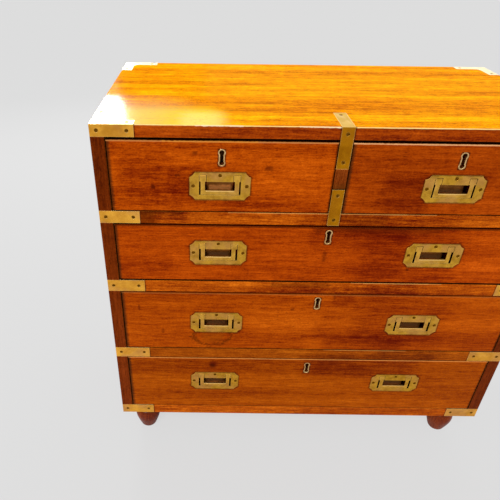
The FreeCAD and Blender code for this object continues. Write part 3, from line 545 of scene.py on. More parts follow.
@dataclass(frozen=True)
class Timber:
    """Polished or bare wood.

    The grain runs one way, and an offset gives each board its own part of the figure.
    """

    name: str
    stain: Stain
    grain: Grain = Grain.LEVEL
    offset: Triple = (0.0, 0.0, 0.0)
    contrast: float = 1.0
    curl: float = 0.08
    roughness: float = 0.36
    coat: float = 0.0
    specular: float = 0.02
    polish: Optional[Shade] = None
    shades: tuple[Shade, ...] = ()
    rim: Colour = srgb(196, 104, 26)
    rim_strength: float = 0.3
    # painted highlight on the rims that face up
    lit_rim: Colour = srgb(255, 176, 72)
    lit_strength: float = 0.85
    # painted light: upward faces take the top stain's daylight colours, with the top light patches over
    # them
    top: Optional[Stain] = None
    top_light: tuple[Shade, ...] = ()
    deep_sides: Optional[Span] = None
    end_grain: float = 0.0
    figure_gain: float = 3.3
    facing_range: Span = (0.55, 0.9)
    pore_depth: float = 0.6
    pore_tone: float = -0.6
    ragged_noise: Triple = (150.0, 3.0, 0.6)
    ragged_figure: float = 2.4
    wear_and_highlight_radius: float = 1.7 * MM
    dullness: float = 0.2
    specular_tint: Colour = (1.0, 0.42, 0.06, 1.0)
    coat_roughness: float = 0.14
    bump_strength: float = 0.3
    bump_depth: float = 0.1 * MM
    tone_stops: tuple[Span, ...] = ((0.0, -0.44), (0.25, -0.21), (0.5, 0.0), (0.75, 0.15), (1.0, 0.34))

    def make(self) -> Material:
        """Build the material.

        Returns:
            A material with figure, pores, marks, rubbed rims, and painted shade and light.
        """
        material, sheet, shader = blank_material(self.name)
        place = sheet.add("TexCoord").outputs["Object"]
        figure = sheet.use(TimberFigure, {"Vector": self.along_grain(sheet, place), "Curl": self.curl})
        centred = sheet.centred(figure["Figure"])
        facing = sheet.facing()
        up = sheet.remap(facing["Z"], *self.facing_range)
        colour = self.wood(sheet, place, centred, figure["Pores"], facing["X"], up)
        wear_and_highlight = sheet.use(RimWearAndHighlight, {"Vector": place, "Radius": self.wear_and_highlight_radius})
        colour = sheet.blend(sheet.calc("MULTIPLY", wear_and_highlight["Rim"], self.rim_strength), colour, self.rim)
        # painted highlight on the rims that face up
        colour = sheet.blend(sheet.calc("MULTIPLY", wear_and_highlight["Lit"], self.lit_strength), colour, self.lit_rim)
        coat = self.coat
        if self.polish:
            coat = sheet.calc("MULTIPLY_ADD", self.polish.mask(sheet, place, centred), up, coat, clamp=True)
        sheet.fill(shader, {
            "Base Color": colour,
            "Roughness": sheet.calc("MULTIPLY_ADD", centred, self.dullness, self.roughness),
            "Normal": sheet.bump(figure["Height"], self.bump_strength, self.bump_depth),
            "Specular IOR Level": self.specular,
            "Specular Tint": self.specular_tint,
            "Coat Weight": coat,
            "Coat Roughness": self.coat_roughness,
        })
        return material

    def wood(
        self, sheet: NodeSheet, place: Socket, centred: Socket, pores: Socket, sideways: Socket, up: Socket
    ) -> Socket:
        """Colour the wood, from its figure to its marks and the painted shade and light on it.

        Args:
            sheet: sheet of the material's tree.
            place: places in the part's frame.
            centred: the figure, -0.5 to 0.5.
            pores: the share of open pores.
            sideways: X of the normal.
            up: how far the surface faces up, 0 to 1.

        Returns:
            The colour before its rims are rubbed and given a painted highlight.
        """
        ragged = sheet.centred(sheet.noise(place, *self.ragged_noise))
        ragged = sheet.calc("MULTIPLY_ADD", centred, self.ragged_figure, ragged)
        spread = sheet.calc("MULTIPLY_ADD", centred, self.figure_gain * self.contrast, 0.5)
        cross_cut = sheet.remap(sheet.calc("ABSOLUTE", sideways), *self.facing_range)
        spread = sheet.calc("MULTIPLY_ADD", cross_cut, self.end_grain, spread)
        colour = self.tones(sheet, self.shift(sheet, spread, self.shades, place, ragged), self.stain)
        # painted light on the upward faces
        if self.top:
            lit_top = self.tones(sheet, self.shift(sheet, spread, self.top_light, place, centred), self.top)
            colour = sheet.blend(up, colour, self.cover(sheet, lit_top, self.top_light, place, centred))
        open_pores = sheet.calc("MULTIPLY", pores, self.pore_depth)
        colour = sheet.blend(open_pores, colour, self.stain.tone(self.pore_tone))
        return self.cover(sheet, colour, self.shades, place, ragged)

    def turned(self, sheet: NodeSheet, place: Socket, grain: Grain) -> Socket:
        """Return places at the board's offset, turned so that a grain runs along X."""
        values = {"Vector": place, "Location": self.offset, "Rotation": grain.value}
        return sheet.add("Mapping", values).outputs[0]

    def along_grain(self, sheet: NodeSheet, place: Socket) -> Socket:
        """Turn places so that the grain runs along X, also in side boards whose grain runs back.

        Args:
            sheet: sheet of the material's tree.
            place: places in the part's frame.

        Returns:
            The turned places.
        """
        turned = self.turned(sheet, place, self.grain)
        if not self.deep_sides:
            return turned
        middle, half = self.deep_sides
        from_middle = sheet.calc("SUBTRACT", sheet.add("SeparateXYZ", {0: place}).outputs["X"], middle)
        outer = sheet.calc("GREATER_THAN", sheet.calc("ABSOLUTE", from_middle), half)
        # sockets 4 and 5 of a Mix node are its vectors
        values = {0: outer, 4: turned, 5: self.turned(sheet, place, Grain.DEEP)}
        return sheet.add("Mix", values, data_type="VECTOR").outputs[1]

    def shift(
        self, sheet: NodeSheet, spread: Value, shades: Sequence[Shade], place: Value, ragged: Value
    ) -> Value:
        """Shift the figure's spread of tones by the shades that have no colour.

        Args:
            sheet: sheet of the material's tree.
            spread: the spread of tones, 0 to 1.
            shades: all the shades.
            place: places in the part's frame.
            ragged: value that shifts their edges.

        Returns:
            The shifted spread.
        """
        for shade in shades:
            if shade.colour is None:
                spread = sheet.calc("ADD", spread, shade.mask(sheet, place, ragged))
        return spread

    def cover(
        self, sheet: NodeSheet, colour: Value, shades: Sequence[Shade], place: Value, ragged: Value
    ) -> Value:
        """Lay the shades that have a colour over the wood.

        Args:
            sheet: sheet of the material's tree.
            colour: the wood's colour.
            shades: all the shades.
            place: places in the part's frame.
            ragged: value that shifts their edges.

        Returns:
            The covered colour.
        """
        for shade in shades:
            if shade.colour is not None:
                colour = sheet.blend(shade.mask(sheet, place, ragged), colour, shade.colour)
        return colour

    def tones(self, sheet: NodeSheet, spread: Value, stain: Stain) -> Socket:
        """Colour the figure from a stain's darkest to its lightest tone."""
        return sheet.ramp(spread, [(place, stain.tone(change)) for place, change in self.tone_stops])


@dataclass(frozen=True)
class Brass:
    """Old brass, bright where it is rubbed and brown where it isn't."""

    name: str
    bright: Colour
    tarnished: Colour
    blush: Colour = srgb(200, 142, 88)
    rim: Colour = srgb(240, 196, 128)
    roughness: float = 0.34
    tarnish: float = 0.75
    cloud: float = 60.0
    dent: float = 0.2 * MM
    rim_width: float = 1.3 * MM
    # colour painted on faces that look up, for the light that falls on them
    top: Optional[Colour] = None
    # painted highlight on the rims that face up
    lit: Colour = srgb(255, 224, 150)
    lit_strength: float = 0.8
    edge_tint: Colour = (1.0, 0.74, 0.36, 1.0)
    metallic: float = 1.0
    # patch across and up a plate or grip: painted reflection in a pan, painted highlight on a grip, darker
    # border on a plate
    uv_patch: Optional[Shade] = None
    blush_share: float = 0.45
    top_range: Span = (0.3, 0.8)
    tarnish_roughness: float = 0.2
    scratch_roughness: float = 0.08
    bump_strength: float = 0.4

    def make(self) -> Material:
        """Build the material.

        Returns:
            A metal with tarnish, scratches, rubbed rims, painted light where it faces up, and its patch.
        """
        material, sheet, shader = blank_material(self.name)
        coordinates = sheet.add("TexCoord").outputs
        place = coordinates["Object"]
        skin = sheet.use(BrassSkin, {"Vector": place, "Cloud": self.cloud})
        wear_and_highlight = sheet.use(RimWearAndHighlight, {"Vector": place, "Radius": self.rim_width})
        dull = sheet.calc("MULTIPLY", skin["Tarnish"], self.tarnish)
        colour = sheet.blend(dull, self.bright, self.tarnished)
        colour = sheet.blend(sheet.calc("MULTIPLY", skin["Blush"], self.blush_share), colour, self.blush)
        # painted light on the faces that look up
        if self.top:
            colour = sheet.blend(sheet.remap(sheet.facing()["Z"], *self.top_range), colour, self.top)
        colour = sheet.blend(wear_and_highlight["Rim"], colour, self.rim)
        # painted highlight on the rims that face up
        colour = sheet.blend(sheet.calc("MULTIPLY", wear_and_highlight["Lit"], self.lit_strength), colour, self.lit)
        if self.uv_patch:
            uv_patch = self.uv_patch.mask(sheet, coordinates["UV"], sheet.centred(skin["Tarnish"]))
            colour = sheet.blend(uv_patch, colour, self.uv_patch.colour)
        rough = sheet.calc("MULTIPLY_ADD", dull, self.tarnish_roughness, self.roughness)
        sheet.fill(shader, {
            "Base Color": colour,
            "Roughness": sheet.calc("MULTIPLY_ADD", skin["Scratches"], self.scratch_roughness, rough),
            "Normal": sheet.bump(skin["Height"], self.bump_strength, self.dent),
            "Metallic": self.metallic,
            "Specular Tint": self.edge_tint,
        })
        return material


@dataclass
class Finishes:
    """Every shared finish of the chest, made once."""

    plate: Material = field(init=False)
    carry_plate: Material = field(init=False)
    pan: Material = field(init=False)
    # lit copy of the pan brass, with a brighter painted reflection
    lit_pan: Material = field(init=False)
    # near-black brass, painted shade in slits and screw slots
    slit: Material = field(init=False)
    grip: Material = field(init=False)
    strap: Material = field(init=False)
    centre_strap: Material = field(init=False)
    thread: Material = field(init=False)
    screw: Material = field(init=False)
    steel: Material = field(init=False)
    turned: Material = field(init=False)

    def __post_init__(self) -> None:
        """Make the materials."""
        plate = Brass(
            "aged_plate_brass", bright=srgb(212, 160, 52), tarnished=srgb(140, 94, 24),
            rim=srgb(236, 184, 82), cloud=64.0, rim_width=1.7 * MM, lit=srgb(255, 216, 120), tarnish=0.62,
        )
        self.carry_plate = replace(plate, name="carry_plate_brass").make()
        self.plate = replace(plate, uv_patch=self.plate_dark_border()).make()
        self.make_pans(plate)
        # the grip's upward faces take a colour painted for the light on them, and its bar a painted
        # highlight line
        self.grip = replace(
            plate, name="rubbed_grip_brass", bright=srgb(224, 172, 66), rim=srgb(240, 190, 96),
            roughness=0.3, top=srgb(186, 132, 48), lit_strength=0.4, uv_patch=Shade(
                (0, -9.6 * MM, 0), (24 * MM, 0.3 * MM, WIDE), reach=1.5 * MM, strength=0.8,
                colour=srgb(250, 206, 124), uneven=0.3,
            ),
        ).make()
        self.make_straps()
        self.make_fittings()

    def plate_dark_border(self) -> Shade:
        """Describe the darker border round the rim of a drawer's handle plate.

        Returns:
            A shade across and up the plate.
        """
        side, foot, corner = 2.4 * MM, 3.4 * MM, 4 * MM
        half = (FlushHandle.width / 2 - side, FlushHandle.height / 2 - foot, WIDE)
        return Shade(
            (0, 0, 0), half, reach=5 * MM, strength=0.7, colour=srgb(92, 50, 12), uneven=0.2,
            chamfer=FlushHandle.notch - corner, hollow=0.6, flat=(1.0, 1.0, 0.0),
        )

    def make_pans(self, plate: Brass) -> None:
        """Make the brass behind the grips: pans with a painted reflection, slits in painted shade.

        Args:
            plate: the brass of the plates.
        """
        # painted reflection glowing low in the pan
        glow = Shade(
            (0, -11 * MM, 0), (17 * MM, 2.5 * MM, WIDE), reach=5 * MM, strength=0.8,
            colour=srgb(158, 108, 64), uneven=0.6,
        )
        pan = replace(
            plate, name="pan_brass", bright=srgb(150, 96, 36), tarnished=srgb(90, 52, 14),
            rim=srgb(150, 96, 40), blush=srgb(130, 70, 36), lit_strength=0.0, metallic=0.6, uv_patch=glow,
        )
        self.pan = pan.make()
        # brighter painted reflection for the lit copy of the pan brass
        near_glow = replace(
            glow, centre=(0, -8.2 * MM, 0), half=(17 * MM, 2 * MM, WIDE), reach=4.5 * MM, strength=0.95,
            colour=srgb(252, 168, 92),
        )
        self.lit_pan = replace(
            pan, name="bright_pan_brass", metallic=0.4, bright=srgb(134, 78, 16),
            tarnished=srgb(76, 38, 4), uv_patch=near_glow,
        ).make()
        # near-black brass, painted shade in the slits
        self.slit = replace(
            plate, name="slit_brass", bright=srgb(84, 14, 2), tarnished=srgb(44, 6, 0),
            rim=srgb(84, 18, 2), blush=srgb(70, 8, 0), lit_strength=0.0,
        ).make()

    def make_straps(self) -> None:
        """Make the brass of the straps, with painted light on the faces that look up."""
        strap = Brass(
            "filed_strap_brass", bright=srgb(242, 178, 64), tarnished=srgb(188, 124, 32), roughness=0.38,
            cloud=34.0, edge_tint=(1.0, 1.0, 1.0, 1.0), top=srgb(250, 226, 176),
        )
        self.strap = strap.make()
        self.centre_strap = replace(
            strap, name="lacquered_strap_brass", bright=srgb(192, 128, 12), tarnished=srgb(146, 88, 6),
            blush=srgb(160, 98, 18), top=srgb(200, 158, 36),
        ).make()

    def make_fittings(self) -> None:
        """Make the finishes of the threads, screws, locks and feet."""
        self.thread = Brass("thread_brass", srgb(236, 200, 142), srgb(150, 108, 62), cloud=240.0).make()
        self.screw = Brass(
            "screw_brass", bright=srgb(140, 94, 18), tarnished=srgb(84, 50, 6), blush=srgb(116, 70, 12),
            rim=srgb(150, 104, 26), roughness=0.42, tarnish=0.8, cloud=300.0, lit_strength=0.0,
        ).make()
        self.steel = Brass(
            "lock_steel", bright=srgb(92, 48, 22), tarnished=srgb(46, 18, 5), blush=srgb(70, 32, 12),
            rim=srgb(120, 84, 52), roughness=0.5, tarnish=0.9, metallic=0.6,
        ).make()
        self.turned = Timber(
            "turned_mahogany", Stain(120, 46, 10), Grain.UPRIGHT, offset=(0.3, 0.1, 0.7), coat=0.25
        ).make()


# Modelling


def new_piece(name: str, bm: BMesh, material: Material, closed: bool = True) -> Piece:
    """Turn a bmesh into an object at the origin with smooth faces and sharp edges.

    Args:
        name: name of the piece.
        bm: its mesh in the part's frame, freed here.
        material: its finish.
        closed: whether the mesh is a closed shell, whose faces are turned outwards.

    Returns:
        The new object, linked to the scene.
    """
    if closed:
        bmesh.ops.recalc_face_normals(bm, faces=bm.faces)
    mesh = bpy.data.meshes.new(name)
    bm.to_mesh(mesh)
    bm.free()
    mesh.shade_smooth()
    mesh.set_sharp_from_angle(angle=SHARP_ANGLE)
    mesh.materials.append(material)
    piece = bpy.data.objects.new(name, mesh)
    bpy.context.scene.collection.objects.link(piece)
    return piece


def fit(piece: Piece, node: str) -> Piece:
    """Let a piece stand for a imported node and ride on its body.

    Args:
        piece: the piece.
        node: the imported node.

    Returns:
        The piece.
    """
    body = body_of_node(node)
    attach(piece, body)
    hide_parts(node)
    LOG.info("%s stands for %s on %s", piece.name, node, body)
    return piece


def dress(node: str, material: Material) -> None:
    """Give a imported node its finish.

    Args:
        node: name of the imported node.
        material: the finish.
    """
    data = frame["nodes"][node].data
    data.materials.clear()
    data.materials.append(material)
    LOG.info("%s is dressed in %s", node, material.name)


def settle(piece: Piece) -> None:
    """Replace a piece's mesh by the result of its modifiers.

    Args:
        piece: the piece, which loses its modifiers.
    """
    view = bpy.context.evaluated_depsgraph_get()
    mesh = bpy.data.meshes.new_from_object(piece.evaluated_get(view))
    mesh.name = piece.name
    piece.modifiers.clear()
    piece.data = mesh


def map_across(piece: Piece) -> None:
    """Keep each corner's place along X and up Z as its UV, in metres.

    Args:
        piece: the piece, still at the origin.
    """
    layer = piece.data.uv_layers.new(name="across_up")
    for loop, corner in zip(piece.data.loops, layer.data):
        place = piece.data.vertices[loop.vertex_index].co
        corner.uv = (place.x, place.z)


def paint(piece: Piece, material: Material, test: Callable[[bpy.types.MeshPolygon], bool]) -> None:
    """Give the faces of a piece that pass a test one more finish.

    Args:
        piece: the piece.
        material: the finish.
        test: says whether a face gets it.
    """
    piece.data.materials.append(material)
    for face in piece.data.polygons:
        if test(face):
            face.material_index = len(piece.data.materials) - 1


def soften(piece: Piece, width: float, segments: int = 2) -> None:
    """Round every sharp edge of a piece with a live bevel.

    Args:
        piece: the piece.
        width: width of the bevel.
        segments: how many strips it has.
    """
    bevel = piece.modifiers.new("soft_edges", "BEVEL")
    bevel.width = width
    bevel.segments = segments
    bevel.limit_method = "ANGLE"
    bevel.angle_limit = SHARP_ANGLE
    bevel.harden_normals = True


def carve(piece: Piece, cutter: BMesh) -> None:
    """Cut a closed shape out of a piece.

    Args:
        piece: the piece.
        cutter: the shape, freed here.
    """
    tool = new_piece(piece.name + "_cutter", cutter, piece.data.materials[0])
    cut = piece.modifiers.new("cut", "BOOLEAN")
    cut.operation = "DIFFERENCE"
    cut.solver = "EXACT"
    cut.object = tool
    settle(piece)
    bpy.data.objects.remove(tool)


def front_sheet(bm: BMesh, low: Span, high: Span) -> None:
    """Add a rectangle in the XZ plane that faces -Y, between two corners.

    Args:
        bm: mesh to add to.
        low: X and Z of its lower left corner.
        high: X and Z of its upper right corner.
    """
    middle = Vector(((low[0] + high[0]) / 2, 0, (low[1] + high[1]) / 2))
    size = Matrix.Diagonal(((high[0] - low[0]) / 2, (high[1] - low[1]) / 2, 1, 1))
    turn = Matrix.Translation(middle) @ Matrix.Rotation(math.pi / 2, 4, "X") @ size
    bmesh.ops.create_grid(bm, x_segments=1, y_segments=1, size=1, matrix=turn)


def slice_sheet(
    bm: BMesh, xs: Iterable[float] = (), ys: Iterable[float] = (), zs: Iterable[float] = ()
) -> None:
    """Slice everything at places along the axes.

    Args:
        bm: mesh to slice.
        xs: places along X.
        ys: places along Y.
        zs: places along Z.
    """
    for axis, places in enumerate((xs, ys, zs)):
        normal = Vector((0, 0, 0))
        normal[axis] = 1
        for place in places:
            bmesh.ops.bisect_plane(
                bm,
                geom=bm.verts[:] + bm.edges[:] + bm.faces[:],
                plane_co=normal * place,
                plane_no=normal,
                dist=CUT_TOUCH,
            )


def pull(bm: BMesh, faces: Sequence[BMFace], step: Sequence[float]) -> list[BMFace]:
    """Extrude faces as one region.

    Args:
        bm: mesh of the faces.
        faces: the faces.
        step: how far along each axis they go.

    Returns:
        The faces at the region's end.
    """
    region = list(dict.fromkeys(item for face in faces for item in (face, *face.edges, *face.verts)))
    made = bmesh.ops.extrude_face_region(bm, geom=region)["geom"]
    bmesh.ops.translate(bm, verts=[item for item in made if isinstance(item, BMVert)], vec=step)
    return [item for item in made if isinstance(item, BMFace)]


def spin(
    bm: BMesh, items: Sequence[Any], centre: Sequence[float], axis: Triple, angle: float, steps: int,
    closed: bool = False,
) -> list[Any]:
    """Spin points and edges about an axis.

    Args:
        bm: mesh of the items.
        items: the points and edges.
        centre: a point on the axis.
        axis: the axis's direction.
        angle: how far they turn.
        steps: how many steps the turn has.
        closed: whether the last step meets the first.

    Returns:
        The points and edges of the last step.
    """
    return bmesh.ops.spin(
        bm,
        geom=items,
        cent=centre,
        axis=axis,
        dvec=(0, 0, 0),
        angle=angle,
        steps=steps,
        use_merge=closed,
        use_normal_flip=False,
        use_duplicate=False,
    )["geom_last"]


def add_rod(
    bm: BMesh, radius: float, end_radius: float, start: Vector, end: Vector, sides: int = 24
) -> None:
    """Add a closed rod or cone between two points.

    Args:
        bm: mesh to add to.
        radius: radius at its start.
        end_radius: radius at its end.
        start: middle of its start.
        end: middle of its end.
        sides: how many sides it has.
    """
    along = end - start
    bmesh.ops.create_cone(
        bm,
        cap_ends=True,
        segments=sides,
        radius1=radius,
        radius2=end_radius,
        depth=along.length,
        matrix=Matrix.Translation((start + end) / 2) @ along.to_track_quat("Z", "Y").to_matrix().to_4x4(),
    )


class Face(Enum):
    """Outer face of the case, as the turn about Z that brings -Y to its outward side."""

    FRONT = 0.0
    RIGHT = math.pi / 2
    LEFT = -math.pi / 2


# Screws


@dataclass
class Island:
    """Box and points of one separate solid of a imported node."""

    low: Vector
    high: Vector
    points: list[Vector]

    @property
    def middle(self) -> Vector:
        """Centre of the box."""
        return (self.low + self.high) / 2


def islands(node: str) -> list[Island]:
    """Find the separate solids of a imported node.

    Args:
        node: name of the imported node.

    Returns:
        One island for each solid, in the order of their places.
    """
    bm = bmesh.new()
    bm.from_mesh(frame["nodes"][node].data)
    bmesh.ops.remove_doubles(bm, verts=bm.verts, dist=TOUCH)
    found, seen = [], set()
    for first in bm.verts:
        if first in seen:
            continue
        seen.add(first)
        queue, points = [first], []
        while queue:
            vertex = queue.pop()
            points.append(vertex.co.copy())
            for edge in vertex.link_edges:
                other = edge.other_vert(vertex)
                if other not in seen:
                    seen.add(other)
                    queue.append(other)
        low = Vector(min(point[i] for point in points) for i in range(3))
        high = Vector(max(point[i] for point in points) for i in range(3))
        found.append(Island(low, high, points))
    bm.free()
    return sorted(found, key=lambda island: tuple(round(value, SORT_DECIMALS) for value in island.middle))


@dataclass
class ScrewSet:
    """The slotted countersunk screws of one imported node, modelled with real slots."""

    node: str
    finishes: Finishes
    head_radius: float = 3.4 * MM
    shank_radius: float = 1.6 * MM
    head_depth: float = 1.9 * MM
    slot_width: float = 0.95 * MM
    slot_depth: float = 0.75 * MM
    sink: float = 0.1 * MM
    reach: float = 0.3 * MM  # of an end, along the screw
    sides: int = 20

    def heads(self) -> list[tuple[Vector, Vector, float]]:
        """Find the screws.

        Returns:
            Centre of each head, direction into the wood, and length.
        """
        found = []
        for island in islands(self.node):
            size = island.high - island.low
            axis = max(range(3), key=lambda i: size[i])
            middle = island.middle
            wide = {}
            for side, end in ((1, island.low[axis]), (-1, island.high[axis])):
                near = [point - middle for point in island.points if abs(point[axis] - end) < self.reach]
                wide[side] = max(offset.length_squared - offset[axis] ** 2 for offset in near)
            inward = max(wide, key=wide.get)
            head = middle.copy()
            head[axis] = island.low[axis] if inward > 0 else island.high[axis]
            way = Vector((0, 0, 0))
            way[axis] = inward
            found.append((head, way, size[axis]))
        return found

    def shape(self) -> bpy.types.Mesh:
        """Model one screw along +Z with its head at zero and a shank that is still short.

        Returns:
            The screw's mesh, with its slot in the second finish.
        """
        bm = bmesh.new()
        bmesh.ops.create_circle(bm, cap_ends=True, segments=self.sides, radius=self.head_radius)
        half = self.slot_width / 2
        slice_sheet(bm, ys=(-half, half))
        border = [edge for edge in bm.edges if edge.is_boundary]
        slot = [face for face in bm.faces if abs(face.calc_center_median().y) < half]
        pull(bm, slot, (0, 0, self.slot_depth))
        for face in bm.faces:
            face.material_index = int(face.calc_center_median().z > TOUCH)
        narrow = self.shank_radius / self.head_radius
        skirt = self.draw(bm, border, self.head_depth, narrow)
        end = self.draw(bm, skirt, self.head_depth, 1.0)
        bmesh.ops.contextual_create(bm, geom=end)
        bmesh.ops.recalc_face_normals(bm, faces=bm.faces)
        mesh = bpy.data.meshes.new(self.node + "_shape")
        bm.to_mesh(mesh)
        bm.free()
        return mesh

    def draw(self, bm: BMesh, edges: Sequence[BMEdge], step: float, narrow: float) -> list[BMEdge]:
        """Draw a closed rim on along +Z and scale it about the axis.

        Args:
            bm: the screw's mesh.
            edges: the rim to draw on.
            step: how far it goes.
            narrow: scale of the new rim.

        Returns:
            The edges of the new rim.
        """
        made = bmesh.ops.extrude_edge_only(bm, edges=edges)["geom"]
        verts = [item for item in made if isinstance(item, BMVert)]
        bmesh.ops.translate(bm, verts=verts, vec=(0, 0, step))
        bmesh.ops.scale(bm, verts=verts, vec=(narrow, narrow, 1))
        return [item for item in made if isinstance(item, BMEdge) and item.is_boundary]

    def build(self) -> Piece:
        """Model every screw of the node as one piece.

        Returns:
            The piece.
        """
        bm = bmesh.new()
        shape = self.shape()
        for count, (head, way, length) in enumerate(self.heads()):
            before = len(bm.verts)
            bm.from_mesh(shape)
            bm.verts.ensure_lookup_table()
            fresh = bm.verts[before:]
            short = 2 * self.head_depth
            tip = [vertex for vertex in fresh if vertex.co.z > short - TOUCH]
            bmesh.ops.translate(bm, verts=tip, vec=(0, 0, length - self.sink - short))
            turn = way.to_track_quat("Z", "Y").to_matrix().to_4x4()
            turn = turn @ Matrix.Rotation(count * GOLDEN_TURN, 4, "Z")
            bmesh.ops.transform(bm, verts=fresh, matrix=Matrix.Translation(head + way * self.sink) @ turn)
        bpy.data.meshes.remove(shape)
        piece = new_piece(self.node + "_slotted", bm, self.finishes.screw)
        # the slots take the slit brass, painted shade
        piece.data.materials.append(self.finishes.slit)
        return fit(piece, self.node)


# Flush handles


@dataclass
class FlushHandle:
    """A brass plate let into the wood, with a pan behind its window and a grip lying flush in it.

    Sizes are those of a drawer's handle. The plate's face is at zero and +Y goes into the wood.
    """

    name: str
    plate_node: str
    grip_node: str
    place: Vector
    finishes: Finishes
    pan: Material
    face: Face = Face.FRONT
    width: float = 108 * MM
    height: float = 54 * MM
    notch: float = 10 * MM
    window_width: float = 74 * MM
    window_height: float = 38.5 * MM
    window_drop: float = 5.5 * MM
    tab_width: float = 47 * MM
    tab_height: float = 13 * MM
    pan_depth: float = 13.5 * MM
    wall: float = 2.4 * MM
    arm_width: float = 7.8 * MM
    slit: float = 2.9 * MM
    bar_height: float = 8 * MM
    grip_thickness: float = 5 * MM
    ear_drop: float = 10 * MM
    gap: float = 0.4 * MM
    ear_gap: float = 0.8 * MM
    bar_bevel: float = 2.4 * MM
    pin_radius: float = 1.25 * MM
    pin_length: float = 1.8 * MM
    pin_sides: int = 16
    screw_edge: float = 6.5 * MM
    screw_radius: float = 3.6 * MM
    sink_lead: float = 1 * MM
    sink_depth: float = 2 * MM
    notch_steps: int = 8
    notch_profile: float = 0.16
    plate_bevel: float = 0.35 * MM
    grip_bevel: float = 0.4 * MM
    round_share: float = 0.98
    round_steps: int = 6
    bar_steps: int = 3
    grip_steps: int = 3
    flat_angle: float = math.radians(1)
    long_share: float = 1.25
    edge_slack: float = 0.1 * MM

    @property
    def window_top(self) -> float:
        """Height of the window's upper edge."""
        return self.height / 2 - self.window_drop

    @property
    def window_foot(self) -> float:
        """Height of the window's lower edge."""
        return self.window_top - self.window_height

    @property
    def tab_foot(self) -> float:
        """Height of the lower edge of the tab between the ears."""
        return self.window_top - self.tab_height

    @property
    def pivot(self) -> float:
        """Height of the grip's axis."""
        return self.window_top - self.gap - self.grip_thickness / 2

    def plate(self) -> Piece:
        """Model the plate, its window and the pan from one sheet, then drill the countersinks.

        Returns:
            The piece.
        """
        bm = bmesh.new()
        half_window, half_tab = self.window_width / 2, self.tab_width / 2
        front_sheet(bm, (-self.width / 2, -self.height / 2), (self.width / 2, self.height / 2))
        bmesh.ops.bevel(
            bm,
            geom=bm.verts[:],
            offset=self.notch,
            segments=self.notch_steps,
            profile=self.notch_profile,
            affect="VERTICES",
            material=-1,
        )
        slice_sheet(
            bm,
            xs=(-half_window, -half_tab, half_tab, half_window),
            zs=(self.window_foot, self.tab_foot, self.window_top),
        )
        sunk = []
        for face in bm.faces:
            centre = face.calc_center_median()
            in_window = abs(centre.x) < half_window and self.window_foot < centre.z < self.window_top
            if in_window and not (abs(centre.x) < half_tab and centre.z > self.tab_foot):
                sunk.append(face)
        ear_depth = self.grip_thickness + 2 * self.gap
        floor = pull(bm, sunk, (0, ear_depth, 0))
        pan = [face for face in floor if face.calc_center_median().z < self.tab_foot]
        pull(bm, pan, (0, self.pan_depth - ear_depth, 0))
        brass = self.finishes.plate if self.face is Face.FRONT else self.finishes.carry_plate
        piece = new_piece(self.name + "_plate", bm, brass, closed=False)
        thick = piece.modifiers.new("wall", "SOLIDIFY")
        thick.thickness = self.wall
        thick.offset = -1
        thick.use_even_offset = True
        settle(piece)
        carve(piece, self.countersinks())
        map_across(piece)
        paint(piece, self.pan, self.is_deep)
        # faces beside the tab take the slit brass, painted shade
        paint(piece, self.finishes.slit, self.is_slit)
        soften(piece, self.plate_bevel)
        return self.put(piece, self.plate_node)

    def is_deep(self, face: bpy.types.MeshPolygon) -> bool:
        """Say whether a face of the plate lies behind the sheet, in the pan or the ears' pockets."""
        return face.center.y > self.wall / 2 and face.area > self.wall**2

    def is_slit(self, face: bpy.types.MeshPolygon) -> bool:
        """Say whether a face of the plate lies beside the tab and is deep or a side wall."""
        beside = self.tab_width / 2 < abs(face.center.x) < self.window_width / 2 + self.edge_slack
        return beside and (self.is_deep(face) or abs(face.normal.x) > SIDEWAYS)

    def countersinks(self) -> BMesh:
        """Model the cones for the heads of the three screws.

        Returns:
            Their mesh.
        """
        side = self.width / 2 - self.screw_edge
        bm = bmesh.new()
        for x, z in ((0, self.height / 2 - self.screw_edge), (-side, 0), (side, 0)):
            start, end = Vector((x, -self.sink_lead, z)), Vector((x, self.sink_depth, z))
            add_rod(bm, self.screw_radius + self.sink_lead, self.screw_radius - self.sink_depth, start, end)
        return bm

    def grip(self) -> Piece:
        """Model the U-shaped grip from one sheet, with rounded ears and pivot stubs.

        Returns:
            The piece.
        """
        ear_out, ear_in = self.window_width / 2 - self.ear_gap, self.tab_width / 2 + self.ear_gap
        arm_out = self.window_width / 2 - self.slit
        arm_in = arm_out - self.arm_width
        foot = self.window_foot + self.gap
        bar_top = foot + self.bar_height
        ear_foot = self.pivot - self.ear_drop
        radius = self.grip_thickness / 2
        top = self.pivot + radius
        bm = bmesh.new()
        front_sheet(bm, (-ear_out, foot), (ear_out, top))
        slice_sheet(bm, xs=(-arm_out, -arm_in, -ear_in, ear_in, arm_in, arm_out), zs=(bar_top, ear_foot))
        spare = []
        for face in bm.faces:
            centre = face.calc_center_median()
            x, z = abs(centre.x), centre.z
            bar = z < bar_top and x < arm_out
            arm = bar_top < z < ear_foot and arm_in < x < arm_out
            ear = z > ear_foot and x > ear_in
            if not (bar or arm or ear):
                spare.append(face)
        bmesh.ops.delete(bm, geom=spare, context="FACES")
        bmesh.ops.dissolve_limit(bm, angle_limit=self.flat_angle, verts=bm.verts, edges=bm.edges)
        pull(bm, bm.faces[:], (0, self.grip_thickness, 0))
        bmesh.ops.recalc_face_normals(bm, faces=bm.faces)
        long = self.grip_thickness * self.long_share
        self.round_edges(
            bm, top, radius * self.round_share, self.round_steps, lambda edge: edge.calc_length() > long
        )
        self.round_edges(
            bm, bar_top, self.bar_bevel, self.bar_steps, lambda edge: abs(edge.verts[0].co.y) < TOUCH
        )
        for side in (-1, 1):
            start = Vector((side * (ear_out - self.ear_gap), radius, self.pivot))
            end = Vector((side * (self.window_width / 2 + self.pin_length), radius, self.pivot))
            add_rod(bm, self.pin_radius, self.pin_radius, start, end, self.pin_sides)
